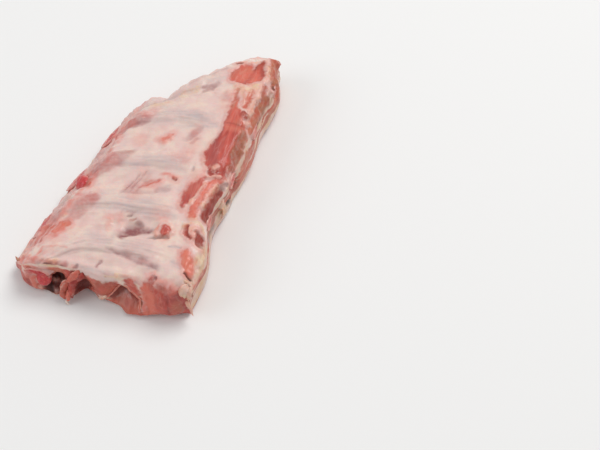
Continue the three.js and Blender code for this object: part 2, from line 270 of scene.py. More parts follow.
def plan(u, v):
    """The outline filled in: the two blends of opposite edges, less the blend of the corners,
    with each corner drawn towards the middle by a bell of the distance to it."""
    front, back, left, right = front_edge(u), back_edge(u), left_edge(v), right_edge(v)
    corner = between(
        between(FRONT_LEFT, FRONT_RIGHT, u), between(BACK_LEFT, BACK_RIGHT, u), v
    )
    x, y = (mix(front[k], back[k], v) + mix(left[k], right[k], u) - corner[k] for k in (0, 1))
    middle = np.mean(CORNERS, axis=0)
    dx, dy = 0, 0
    for cx, cy in CORNERS:
        inwards = middle - (cx, cy)
        pull = CORNER_PULL * bell(np.hypot(x - cx, y - cy), CORNER_REACH) / np.hypot(*inwards)
        dx, dy = dx + inwards[0] * pull, dy + inwards[1] * pull
    return x + dx, y + dy


def curve_through(points, steps=70):
    """Evenly spaced points on the smooth curve through points: each stretch is a cubic whose
    end slopes come from neighbours weighed by the square roots of the gaps between points."""
    p = np.array(points, float)
    p = np.vstack([2 * p[0] - p[1], p, 2 * p[-1] - p[-2]])
    stretches = []
    for k in range(1, len(p) - 2):
        a, b, c, d = p[k - 1 : k + 3]
        before, here, after = (
            math.sqrt(np.linalg.norm(q - r)) for q, r in ((b, a), (c, b), (d, c))
        )
        start = ((b - a) / before - (c - a) / (before + here) + (c - b) / here) * here
        end = ((c - b) / here - (d - b) / (here + after) + (d - c) / after) * here
        t = np.linspace(0, 1, CURVE_STEPS)[:, None]
        stretches.append(
            b
            + start * t
            + (3 * c - 3 * b - 2 * start - end) * t**2
            + (2 * b - 2 * c + start + end) * t**3
        )
    curve = np.vstack(stretches)
    run = np.concatenate([[0], np.cumsum(np.linalg.norm(np.diff(curve, axis=0), axis=1))])
    even = np.linspace(0, run[-1], steps + 1)
    return np.stack([np.interp(even, run, curve[:, k]) for k in range(curve.shape[1])], axis=1)


RIB_LINES = tuple(curve_through(points) for points in RIBS)


def distance_to_line(line, x, y, halves=None):
    """Distance from each point to a line of points, less the line's own half width there."""
    halves = np.zeros(len(line)) if halves is None else np.asarray(halves, float)
    nearest = np.full(np.shape(x), np.inf)
    for k in range(len(line) - 1):
        a, b = np.asarray(line[k], float), np.asarray(line[k + 1], float)
        e = b - a
        t = np.clip(((x - a[0]) * e[0] + (y - a[1]) * e[1]) / max(e @ e, 1e-9), 0, 1)
        gap = np.hypot(x - a[0] - t * e[0], y - a[1] - t * e[1])
        nearest = np.minimum(nearest, gap - mix(halves[k], halves[k + 1], t))
    return nearest


def rib_closeness(x, y):
    """The sum over the ribs of a bell of the distance to each one's middle line."""
    return sum(bell(distance_to_line(line, x, y), RIB_RIDGE_HALF) for line in RIB_LINES)


def ridges(x, y):
    """Ridges raised by the bones, fading out under the lean on the right."""
    fade = 1 - smooth((x - FADE_FROM) / FADE_OVER)
    return RIB_RIDGE * (rib_closeness(x, y) - RIDGE_BASE) * fade


def forms(x, y):
    """Each form is its rise times a bell along it and a bell across it."""
    height = 0
    for form in FORMS:
        c, s = math.cos(math.radians(form.turn)), math.sin(math.radians(form.turn))
        dx, dy = x - form.at[0], y - form.at[1]
        along, across = dx * c + dy * s, dy * c - dx * s
        height = height + form.rise * bell(along, form.half[0]) * bell(across, form.half[1])
    return height


def rolled(distance, roll):
    """0 away from the edge and 1 on it, as a power of the share of the width that is left."""
    return np.maximum(0, 1 - distance / roll.width) ** roll.power


def crown(u, v):
    """Height across the rack, eased between the five heights, dropping at both ends."""
    place = u * (len(CROWN) - 1)
    left = np.clip(np.floor(place).astype(int), 0, len(CROWN) - 2)
    height = mix(CROWN[left], CROWN[left + 1], smooth(place - left))
    return height - FRONT_DROP * bell(v, FRONT_DROP_REACH) - BACK_DROP * bell(1 - v, BACK_DROP_REACH)


def edge_distances(u, v):
    """Millimetres to each edge: the share of the way times the width or the length there."""
    width = right_edge(v)[0] - left_edge(v)[0]
    length = back_edge(u)[1] - front_edge(u)[1]
    return {
        "left": u * width,
        "right": (1 - u) * width,
        "front": v * length,
        "back": (1 - v) * length,
    }


def top_height(u, v, x, y):
    """The crown, ridges and forms, times what each edge's roll leaves of the height."""
    far = edge_distances(u, v)
    height = crown(u, v)
    share = 1
    for side, roll in ROLLS.items():
        share = share * (1 - roll.drop * rolled(far[side], roll) / height)
    lobe = smooth((x - LOBE_FROM) / LOBE_OVER) * LOBE_ROLL.drop
    share = share * (1 - lobe * rolled(far["front"], LOBE_ROLL) / height)
    return (height + ridges(x, y) + forms(x, y)) * share


def bottom_height(u, v, x, y):
    """Rolled up at every edge, with a hollow of the squared product of two half sines."""
    far = edge_distances(u, v)
    flat = 1
    for side in SIDE_NAMES:
        flat = flat * (1 - rolled(far[side], UNDERSIDE_ROLL))
    inside = np.sin(np.pi * u) * np.sin(np.pi * v)
    return UNDERSIDE_ROLL.drop * (1 - flat) + UNDERSIDE_HOLLOW * inside**2


class EdgeLoop:
    """The loop round the slab: each step's side, u, v, point and outward direction."""

    def __init__(self, across, along):
        self.i = np.concatenate(
            [np.arange(across), np.full(along, across), np.arange(across, 0, -1), np.zeros(along, int)]
        )
        self.j = np.concatenate(
            [np.zeros(across, int), np.arange(along), np.full(across, along), np.arange(along, 0, -1)]
        )
        self.side = np.repeat([0, 1, 2, 3], [across, along, across, along])
        self.u = crowded(self.i / across)
        self.v = crowded(self.j / along)
        self.point = np.stack(plan(self.u, self.v), axis=1)
        ahead = np.roll(self.point, -1, axis=0) - np.roll(self.point, 1, axis=0)
        ahead /= np.linalg.norm(ahead, axis=1, keepdims=True)
        self.out = np.stack([ahead[:, 1], -ahead[:, 0]], axis=1)

    def relief(self, level):
        """How far each step stands out at a level: each form is a bell along the side times
        a bell down it, and all of them fade at the side's ends."""
        amount = np.zeros(len(self.i))
        for number, name in enumerate(SIDE_NAMES):
            on = self.side == number
            runs_across = name in ("front", "back")
            place = self.point[on, 0 if runs_across else 1]
            run = (self.u if runs_across else self.v)[on]
            out = 0
            for form in SIDE_FORMS[name] + SHEET_FORMS.get(name, ()):
                out = out + form.out * bell(place - form.at, form.half) * bell(
                    level - form.level, form.tall
                )
            amount[on] = out * smooth(run * SIDE_FADE) * smooth((1 - run) * SIDE_FADE)
        return self.out * amount[:, None]


def level_grid(across, along, level, height):
    """A grid of points at one level, moved by what moves the edges near them."""
    loop = EdgeLoop(across, along)
    shift = np.zeros((along + 1, across + 1, 2))
    shift[loop.j, loop.i] = loop.relief(level)
    u, v = np.meshgrid(crowded(np.arange(across + 1) / across), crowded(np.arange(along + 1) / along))
    spread = (
        ((1 - v) ** SPREAD_POWER)[..., None] * shift[:1]
        + (v**SPREAD_POWER)[..., None] * shift[-1:]
        + ((1 - u) ** SPREAD_POWER)[..., None] * shift[:, :1]
        + (u**SPREAD_POWER)[..., None] * shift[:, -1:]
    )
    x, y = plan(u, v)
    x, y = x + spread[..., 0], y + spread[..., 1]
    return np.stack([x, y, height(u, v, x, y)], axis=-1), loop


def slab_surface():
    """The slab as one closed surface: a top grid, rows down the sides that run straight from
    its edge to the lower edge but for their relief, and a bottom grid with half the steps.
    Returns points, faces and each point's share of the way down."""
    top, loop = level_grid(ACROSS, ALONG, 0, top_height)
    bottom, _ = level_grid(ACROSS // 2, ALONG // 2, 1, bottom_height)
    around = len(loop.i)
    upper = top[loop.j, loop.i]
    low_loop = EdgeLoop(ACROSS // 2, ALONG // 2)
    low = bottom[low_loop.j, low_loop.i]
    lower = np.empty_like(upper)
    lower[::2] = low
    lower[1::2] = (low + np.roll(low, -1, axis=0)) / 2
    rows = []
    for row in range(1, DOWN):
        level = row / DOWN
        place = loop.point + loop.relief(level)
        rows.append(np.column_stack([place, mix(upper[:, 2], lower[:, 2], level)]))
    points = np.concatenate([top.reshape(-1, 3), *rows, bottom.reshape(-1, 3)])
    first_side = top.shape[0] * top.shape[1]
    first_bottom = first_side + (DOWN - 1) * around
    level = np.concatenate(
        [np.zeros(first_side), np.repeat(np.arange(1, DOWN) / DOWN, around), np.ones(bottom.size // 3)]
    )

    def grid_quads(shape, first, flip):
        index = first + np.arange(shape[0] * shape[1]).reshape(shape[:2])
        corners = [index[:-1, :-1], index[:-1, 1:], index[1:, 1:], index[1:, :-1]]
        return np.stack(corners[::-1] if flip else corners, axis=-1).reshape(-1, 4)

    rims = [loop.j * (ACROSS + 1) + loop.i]
    rims += [first_side + row * around + np.arange(around) for row in range(DOWN - 1)]
    quads = [grid_quads(top.shape, 0, False), grid_quads(bottom.shape, first_bottom, True)]
    for a, b in zip(rims[:-1], rims[1:]):
        quads.append(np.stack([a, b, np.roll(b, -1), np.roll(a, -1)], axis=1))
    a = rims[-1]
    b = first_bottom + low_loop.j * (ACROSS // 2 + 1) + low_loop.i
    a0, a1, a2 = a[::2], a[1::2], np.roll(a, -2)[::2]
    b1 = np.roll(b, -1)
    thirds = np.concatenate(
        [np.stack(t, axis=1) for t in ((a0, b, a1), (b, b1, a1), (b1, a2, a1))]
    )
    return points, (np.concatenate(quads), thirds), level


def vertex_normals(points, faces):
    """Each point's outward direction: the sum of its faces' normals, which are cross products
    of the diagonals of a quad or of two sides of a triangle."""
    total = np.zeros_like(points)
    for block in faces:
        corners = points[block]
        if block.shape[1] == 4:
            normal = np.cross(corners[:, 2] - corners[:, 0], corners[:, 3] - corners[:, 1])
        else:
            normal = np.cross(corners[:, 1] - corners[:, 0], corners[:, 2] - corners[:, 0])
        for k in range(block.shape[1]):
            for axis in range(3):
                total[:, axis] += np.bincount(block[:, k], normal[:, axis], len(points))
    return total / np.maximum(np.linalg.norm(total, axis=1, keepdims=True), 1e-12)


LATTICE_SIZE = 32
LATTICE = np.random.default_rng(11).uniform(-1, 1, (LATTICE_SIZE,) * 3)
LATTICE_SLIDE = np.array((7.3, 3.1, 5.7))


def value_noise(points, seed=0):
    """Smooth random heights from -1 to 1: the eased blend of the values at the eight lattice
    points round each point. A seed slides the lattice."""
    place = points + seed * LATTICE_SLIDE
    cell = np.floor(place).astype(int)
    share = smooth(place - cell)
    total = 0
    for corner in range(8):
        step = np.array(((corner >> 0) & 1, (corner >> 1) & 1, (corner >> 2) & 1))
        weight = np.prod(np.where(step, share, 1 - share), axis=-1)
        index = (cell + step) % LATTICE_SIZE
        total = total + weight * LATTICE[index[..., 0], index[..., 1], index[..., 2]]
    return total


def fractal_noise(points, octaves, seed=0):
    """Value noise plus half as much at twice the fineness, and so on."""
    return sum(0.5**k * value_noise(points * 2**k, seed + k) for k in range(octaves))


def rib_place(x, y):
    """Where a point lies across the ribs, in millimetres: the ribs' own lines stand a pitch
    apart, and points between two of them are placed by their share of the way across."""
    lines = []
    for line in RIB_LINES:
        first, last = line[0], line[-1]
        inner, outer = line[END_STEPS], line[-1 - END_STEPS]
        slope_in = (inner[1] - first[1]) / (inner[0] - first[0])
        slope_out = (last[1] - outer[1]) / (last[0] - outer[0])
        level = np.interp(x, line[:, 0], line[:, 1])
        level = np.where(x < first[0], first[1] + slope_in * (x - first[0]), level)
        lines.append(np.where(x > last[0], last[1] + slope_out * (x - last[0]), level))
    place = np.minimum(0, (y - lines[0]) / RIB_PITCH)
    for near, far in zip(lines[:-1], lines[1:]):
        place = place + np.clip((y - near) / (far - near), 0, 1)
    return RIB_PITCH * (place + np.maximum(0, (y - lines[-1]) / RIB_PITCH))


def rib_offset(place):
    """Signed distance to the nearest rib, in the rib place's own millimetres."""
    nearest = np.clip(np.round(place / RIB_PITCH), 0, len(RIBS) - 1)
    return place - nearest * RIB_PITCH


def left_distance(x, y):
    """Distance to the straight line between the two left corners."""
    dx, dy = BACK_LEFT[0] - FRONT_LEFT[0], BACK_LEFT[1] - FRONT_LEFT[1]
    return ((x - FRONT_LEFT[0]) * dy - (y - FRONT_LEFT[1]) * dx) / math.hypot(dx, dy)


# Marks on the surface: a path with its half widths, on one face of the slab, in millimetres.
# On top a place is (x, y), on the front (x, z), and on the left and right (y, z). Then come how
# far the mark raises the surface, and over how many millimetres its outline fades.
# Lean and fat are patches with an edge: 1 is bare, less is veiled, and -1 takes them away.
# Rosy, mauve, grey and dark are tints from 0 to 1, and a negative one wipes what is there. Dark lays
# blood-dark colour, and painted shade where a mark sits in a hollow, pit or crease.
Mark = namedtuple(
    "Mark", "face path halves rise soft lean fat rosy mauve grey dark", defaults=(0.0, 1.5, *(0,) * 6)
)

FAR_MARKS = (
    # red window with its cream rim, and the corner strip beside it
    Mark("top", ((35.6, 161.4), (39.6, 163.6), (43.8, 166)), (3.6, 5.6, 4.4), -0.5, lean=1, rosy=0.2),
    Mark("top", ((38, 168), (43, 170.4), (44.8, 175)), (4.4, 4.8, 3.2), -0.4, lean=1, rosy=0.1),
    Mark("top", ((34.8, 161.8), (35.2, 167), (37, 172.6)), (3, 3.4, 3.2), 0, 3, lean=1, rosy=0.5),
    Mark("top", ((46.4, 165), (46.6, 170)), (2.6, 2.6), -0.2, 3, lean=1, rosy=0.15),
    Mark(
        "top", ((30.8, 160.6), (30.6, 168), (33, 173.4), (37, 175.4)), (1.8, 2.8, 3, 2.4), 0, 3,
        lean=1, rosy=0.4,
    ),
    # the far corner stands up beside a dip
    Mark("top", ((49, 184), (53, 188.6)), (3.4, 3), 1.5, 9),
    Mark("top", ((39, 184), (45, 187)), (3, 3), -1.2, 7),
    # a salmon streak along the window's lower right edge: a painted highlight
    Mark("top", ((40.6, 160.6), (46.4, 164.4)), (1, 1.4), 0.2, 2, rosy=0.5),
    Mark("top", ((42.6, 175.4), (45.4, 178)), (2.4, 2.4), 0, 2.5, lean=1, dark=0.16, grey=0.25),
    Mark("top", ((46.4, 169), (47, 173)), (1.2, 1.5), 0, 2.5, dark=0.22),
    Mark("top", ((28.6, 176.6), (31.4, 177.6)), (0.8, 0.7), -0.6, lean=0.8, dark=0.4, grey=0.5),
    Mark("top", ((33, 178.6), (37, 180), (41, 181)), (0.7, 0.8, 0.7), 0.3, 2.5, fat=0.9, rosy=0.35),
    Mark("top", ((50.2, 164), (51.6, 168), (50.4, 176)), (1.8, 2.2, 1.6), 0.7, 1.8, lean=-1, fat=1),
    Mark("top", ((34, 155.6), (42, 156.4), (49, 159)), (0.9, 1.4, 1.4), 0.5, 1.6, lean=-1, fat=1),
    Mark("top", ((50.6, 188), (52.6, 180), (54, 169)), (2.8, 3.2, 2.6), 0.4, 2, lean=1, grey=0.45),
    Mark("right", ((188, 22), (180, 23), (166, 24)), (5, 6, 4), 0, 2, lean=1, grey=0.5),
    Mark("right", ((128, 24), (138, 25), (152, 25)), (3.2, 4, 3.4), 0, 2.5, lean=1, grey=0.6, dark=0.14),
    # yellower fat and streaks that run down from the window to the loin strip
    Mark("top", ((36, 154), (43, 153), (49, 154)), (3, 4, 3), 0.2, 4, fat=0.95),
    Mark("top", ((43.6, 150), (46, 142), (49.6, 136)), (3.4, 3.6, 2), 0.1, 4, fat=0.95),
    Mark(
        "top", ((37.4, 153), (37.2, 146), (37.6, 137)), (0.7, 1.5, 2), 0, 1.8,
        lean=0.85, grey=0.4, rosy=0.2,
    ),
    Mark("top", ((41.6, 152), (42.2, 143), (42.6, 136)), (1, 1.4, 1), 0.4, 2, grey=0.35, rosy=0.2),
    Mark("top", ((46.4, 153), (47, 146), (46, 138)), (0.5, 1.7, 1.6), 0, 1.4, lean=1, rosy=0.3, grey=0.15),
    Mark("top", ((44.6, 151), (44.8, 143)), (0.5, 0.8), 0, 1.4, lean=0.7, rosy=0.5),
    Mark("top", ((49.4, 156), (49.8, 146), (48.8, 136)), (0.8, 0.9, 0.8), 0.5, 1.4, lean=-1, fat=1),
    Mark(
        "top", ((51.6, 160), (53, 150), (53.4, 143), (51.8, 124)), (0.8, 1.8, 2.6, 2.3), 0, 2,
        lean=1, grey=0.6,
    ),
    Mark("top", ((55.4, 160), (56, 150)), (0.7, 0.9), 0, 1.5, fat=1, grey=0.9, dark=0.25),
    # mauve spots under the membrane
    Mark("top", ((15, 147.5), (18.6, 152), (21.5, 156)), (0.9, 2.4, 1.8), -0.4, 2.5, mauve=0.5, dark=0.05),
    Mark("top", ((14, 150.5), (15.4, 152.6)), (0.8, 0.9), -0.2, 1.4, mauve=0.4),
    Mark("top", ((29.5, 147), (31, 143)), (2.2, 2.8), -0.3, 3.5, mauve=0.22, grey=0.3),
    Mark("top", ((5, 153), (12, 163), (24, 171)), (1.2, 1.6, 1), 0, 4, mauve=0.35, grey=0.2),
    Mark("top", ((-15, 133.5), (-3, 136.5)), (1.6, 1.4), 0.4, 2, fat=0.7),
    Mark("top", ((3, 143), (10, 149)), (2, 2.4), 0.2, 3, fat=0.6),
)

STRIP_MARKS = (
    # loin strip: orange-red, mauve on its left lobe, fading to tan at the right
    Mark("top", ((38.4, 141), (40.6, 131), (43, 122)), (1.2, 4.4, 6.6), 0.2, 2.6, lean=1, rosy=0.26),
    Mark(
        "top",
        ((43.5, 124), (42.3, 115), (42, 107), (41, 98), (42.6, 91), (43.4, 84)),
        (5, 5.8, 6, 7, 5.8, 4.4),
        0.9,
        4.5,
        lean=1,
    ),
    Mark(
        "top", ((39.6, 85.5), (37.2, 91), (35.4, 97), (36, 102.5), (39, 109)), (2.6, 3.2, 3.8, 4, 3),
        0.8, 4, lean=1,
    ),
    Mark("top", ((39.4, 88), (37.4, 92), (36.2, 98), (37, 104)), (2.2, 3, 3.6, 3.6), 0.2, 4, mauve=0.5),
    Mark("top", ((36, 106), (37, 112), (37.2, 117)), (0.9, 1.1, 0.6), 0, 1.6, mauve=0.4, dark=0.12),
    Mark("top", ((40, 90), (42, 98), (41, 112)), (1.2, 2, 1.4), 0, 4, rosy=0.12, mauve=0.12),
    Mark("top", ((48.6, 92), (49.8, 106), (49, 118)), (2, 3, 2.6), 0, 3, lean=0.9, grey=0.85, dark=0.24),
    Mark(
        "top", ((51, 90), (51.6, 104), (51.6, 118)), (1, 1.4, 1.2), 0, 2.5,
        lean=0.6, fat=1, grey=0.9, dark=0.1,
    ),
    Mark("top", ((38.6, 122.6), (44, 121.8), (49.5, 123)), (0.4, 0.6, 0.4), -0.5, 1.2, lean=1, dark=0.35),
    Mark("top", ((40, 117.6), (45, 118.6), (49, 117.6)), (1, 1.2, 0.9), 0.4, 2.5, rosy=0.45, grey=0.15),
    Mark("top", ((44.6, 91), (46, 87)), (1.4, 1.5), -0.3, 3, dark=0.22),
    Mark("top", ((46.6, 130), (47, 131.4)), (2.6, 2.6), 1.2, 1.6, lean=1, dark=0.32, mauve=0.2),
    Mark("top", ((46.8, 130.4), (47, 131)), (1, 1), 0.5, 1.4, rosy=0.6),
    # a cream streak at the loin edge that stands for a glint: painted highlight on a raised ridge
    Mark("top", ((49.3, 130.6), (49.8, 137.4)), (0.7, 1), 0.7, 1.2, lean=-1, fat=1),
    Mark("top", ((48, 126), (50, 127.6)), (1.1, 0.9), 0.6, 1.4, lean=-1, fat=1),
    # a raised white-cream spot with a pink tinge: a painted highlight, the glint on the strip
    Mark("top", ((39.9, 87), (41.2, 87.7)), (1.9, 1.8), 1.1, 1.2, lean=-1, fat=1, rosy=0.3),
    Mark("top", ((37.4, 84.6), (40, 83.6), (44, 85)), (0.8, 1.1, 0.8), -0.3, 1.6, lean=1, dark=0.3),
    Mark("top", ((37.2, 80.4), (40.5, 80.8), (44, 82)), (0.9, 1.3, 1), 0.8, 1.4, lean=-1, fat=1, rosy=0.15),
    # red oval, salmon strip with its orange foot, dark tongue, and the seams between them
    Mark(
        "top", ((29.6, 56), (31, 64), (34, 72), (37.4, 79)), (1.4, 3.6, 3.6, 1.2), 0.9, 2,
        lean=1, mauve=0.3,
    ),
    Mark(
        "top", ((37.2, 53), (37.6, 58), (39.2, 67), (41.6, 75.5), (46, 79.5)),
        (2.7, 2.4, 1.6, 1.6, 1.5), 0.4, 3, lean=0.74, rosy=0.8,
    ),
    Mark("top", ((33.6, 59), (36, 67), (38.6, 74.5)), (0.9, 1, 0.8), 0.7, 1.3, lean=-1, fat=1),
    Mark("top", ((41.4, 59), (42.8, 67), (45.6, 75)), (1.3, 1.7, 1.8), 0.9, 1.8, lean=-1, fat=1),
    Mark("top", ((44.2, 54), (46, 61), (47.2, 68), (48, 75)), (2.4, 3.6, 3.6, 2), 0.4, 2.5, lean=1, dark=0.5),
    Mark("top", ((36.8, 54), (38, 50.5), (39.4, 47.6)), (2, 2.2, 1.6), 0, 4, fat=0.85),
    Mark("top", ((48.6, 78), (49.4, 82)), (1.4, 1.2), -0.8, 1.5, grey=0.8, dark=0.4),
)

MIDDLE_MARKS = (
    # round knob, knuckle pair and the salmon patch near the front
    Mark("top", ((25, 36.4), (25.8, 38.6)), (3.1, 3.2), 1.6, 2.4, lean=1, mauve=0.15),
    Mark("top", ((25.4, 35), (27.6, 36.6)), (0.8, 0.8), 0.2, 1.4, rosy=0.5),
    Mark("top", ((20.6, 33.6), (19.4, 36), (21.4, 39.4)), (0.9, 1, 0.7), 0.8, 1.4, fat=1, rosy=0.35),
    Mark("top", ((17, 31.4), (22, 31.6), (28.4, 33.6)), (0.6, 1, 0.6), -1.3, 1.4, grey=0.7, dark=0.35),
    Mark(
        "top", ((38, 43), (37.6, 39.6), (41.5, 35.8)), (0.8, 1.6, 1.1), -0.8, 1.6,
        lean=1, rosy=0.3, dark=0.12,
    ),
    Mark("top", ((43.8, 41), (46.4, 38.4), (47.6, 34)), (0.8, 2.6, 1.7), -0.8, 1.8, lean=1, dark=0.45),
    Mark("top", ((43, 37), (41.5, 41.5)), (1.8, 1.6), 1.3, 2, fat=1, rosy=0.1),
    Mark("top", ((36, 44), (42, 47), (48, 44)), (1.6, 1.8, 1.6), 0.8, 2.4, fat=1),
    Mark("top", ((41.4, 26.6), (43.4, 21.6), (46.2, 15.6)), (2, 3.8, 2), 0.5, 3, lean=1, rosy=1),
    Mark("top", ((44.4, 14.4), (48.4, 13.4)), (0.4, 0.6), -1.2, 1, dark=0.8),
    Mark("top", ((49.6, 34), (50.6, 22), (50.4, 8)), (2.2, 2.6, 2.4), 0.4, 2.6, lean=-1, fat=1),
    Mark("right", ((6, 22), (20, 24), (34, 24)), (4, 5, 4), 0.3, 3, lean=-1, fat=1),
    # dark hollow in painted shade, creased hollow, and the line below the first rib in painted shade
    # the hollow: mauve where lean shows through, with painted shade darkened into it
    Mark(
        "top", ((1.8, 28.5), (3.6, 34), (9, 37), (15.6, 36.6)), (0.9, 3, 3.8, 1.8), -1.3, 4.4,
        mauve=1, dark=0.2,
    ),
    # grey and mauve on the hollow's left side: painted shade
    Mark("top", ((-2, 26), (0, 33), (4, 40)), (1.4, 2, 1), -0.3, 4, grey=0.5, mauve=0.2),
    Mark("top", ((-7.5, 61.5), (-6.5, 68), (-3, 75)), (0.4, 0.6, 0.3), -0.8, 2, mauve=0.6),
    Mark("top", ((-4.5, 62), (-3.2, 69), (1, 77.5)), (0.3, 0.6, 0.3), -0.8, 2, mauve=0.55),
    Mark(
        "top", ((-1, 62.5), (0.5, 68), (4.5, 72), (10, 73.5)), (0.4, 0.9, 0.9, 0.5), -0.7, 2.2,
        mauve=0.5, rosy=0.3,
    ),
    Mark("top", ((-4, 65), (1, 71)), (5.5, 5), 0, 6, mauve=0.35, rosy=0.12),
    Mark("top", ((-8, 60), (2, 62), (10, 64)), (1.4, 2, 1.4), -0.4, 3, grey=0.6, mauve=0.15),
    # mauve-grey band along the first rib's near side, with a thinner line in it: painted shade in the groove
    # there
    Mark(
        "top", ((-4, 18.8), (8, 17.8), (20, 15.6), (28, 14)), (0.3, 1.2, 1.9, 2.1), -0.8, 3.6,
        mauve=0.52, grey=0.6,
    ),
    Mark("top", ((-2, 18), (8, 16.8), (20, 14.4), (28, 12.8)), (0.2, 0.4, 0.5, 0.5), -0.5, 1.8, mauve=0.35),
    # red flecks and dark specks in the fat between the ribs
    Mark("top", ((1.5, 103), (4.5, 105.5), (8, 110)), (0.5, 1, 0.4), 0.3, 2, rosy=0.8, lean=0.5),
    Mark("top", ((5, 108.5), (8, 106)), (0.6, 0.6), 0.3, 1.4, rosy=0.7),
    Mark("top", ((-2, 104), (4, 101)), (1.4, 1.6), 0.2, 3, rosy=0.3),
    Mark("top", ((4, 69), (7, 70.5), (11, 73)), (0.5, 1.2, 0.8), 0.3, 1.6, lean=0.75, rosy=0.5),
    Mark("top", ((10, 78.4), (15, 78), (18.5, 76.4)), (0.6, 1.2, 1.2), 0.2, 2, rosy=0.75),
    Mark("top", ((18, 76), (19.5, 75.4)), (0.7, 0.8), -0.6, 1, lean=0.85, dark=0.4),
    Mark("top", ((3, 42.4), (6.5, 43.2)), (0.5, 0.7), -0.3, 1.2, rosy=0.6, dark=0.3),
    Mark("top", ((1, 44.5), (3.4, 45.4)), (0.4, 0.4), -0.3, 1, dark=0.4, mauve=0.4),
    Mark("top", ((-12, 41), (-3, 43)), (2.2, 2.4), 0.3, 3, rosy=0.3),
    Mark("top", ((-9, 40), (-7, 33)), (1.2, 1.8), 0.6, 2.4, rosy=0.35),
    Mark("top", ((-3, 46), (4, 47)), (1.2, 1), 0, 2, mauve=0.4),
    # mauve and grey spots where lean shows through the membrane
    Mark("top", ((17, 108), (19.5, 113), (22.5, 117)), (2.6, 2.8, 1.2), -0.4, 2.8, mauve=0.44, grey=0.2),
    Mark("top", ((20.5, 104), (23, 108)), (1, 1.4), -0.2, 2, mauve=0.35),
    Mark("top", ((27, 87), (27.6, 84)), (0.8, 1.1), -0.4, 1.6, grey=0.8, mauve=0.3),
    Mark("top", ((12, 66), (17, 68)), (2.2, 2.6), -0.4, 3, mauve=0.3, grey=0.5),
    Mark("top", ((31, 28), (38, 29.2)), (0.6, 0.8), -0.5, 1.4, grey=0.9),
    Mark("top", ((36, 19), (40, 17)), (1, 1.4), -0.3, 2, grey=0.8),
    Mark("top", ((-18, 27), (-5, 22)), (2.6, 3), -0.4, 4, grey=0.6),
    Mark("top", ((-13, 33), (-7, 36)), (2.4, 2.4), 0, 5, grey=0.45, rosy=0.15),
    Mark("top", ((-20, 57.6), (-14, 60.6)), (2.4, 2.4), 0, 5, grey=0.45),
    Mark("top", ((6, 24), (20, 25)), (2.4, 2.4), 0, 5, grey=0.4, mauve=0.1),
    # grey lines along the ribs
    Mark("top", ((-10, 81), (0, 84), (10, 84.8), (24, 82)), (0.8, 2, 2, 1), -0.3, 3, grey=0.7, mauve=0.06),
    Mark("top", ((-4, 87), (8, 89.6), (22, 90)), (0.8, 1.6, 1.6), -0.2, 3, grey=0.65),
    Mark(
        "top", ((-30, 47), (-17, 48.4), (-8, 50), (6, 47.4), (30, 48.6)), (0.5, 1, 1.6, 1.8, 1),
        -0.25, 3, grey=0.6,
    ),
    Mark("top", ((4, 46), (16, 45.4), (28, 46.6)), (0.9, 1.4, 1), -0.2, 4, grey=0.4, mauve=0.2),
    Mark("top", ((-6, 55), (0, 54), (14, 52), (26, 52.6)), (0.8, 1.6, 1.8, 0.8), -0.2, 3, grey=0.6),
    Mark("top", ((-8, 124), (6, 127), (18, 125.4), (31, 121)), (1, 2.2, 2.2, 1.2), -0.3, 3, grey=0.9),
    Mark("top", ((4, 121.6), (18, 121.4), (27, 119)), (0.4, 1, 0.5), -0.3, 1.8, grey=0.75),
    Mark("top", ((12, 130), (24, 128)), (0.5, 0.7), -0.2, 1.8, grey=0.6),
    Mark("top", ((-26, 19), (-10, 22.5), (8, 22)), (0.5, 0.8, 0.5), -0.2, 2, grey=0.6),
)

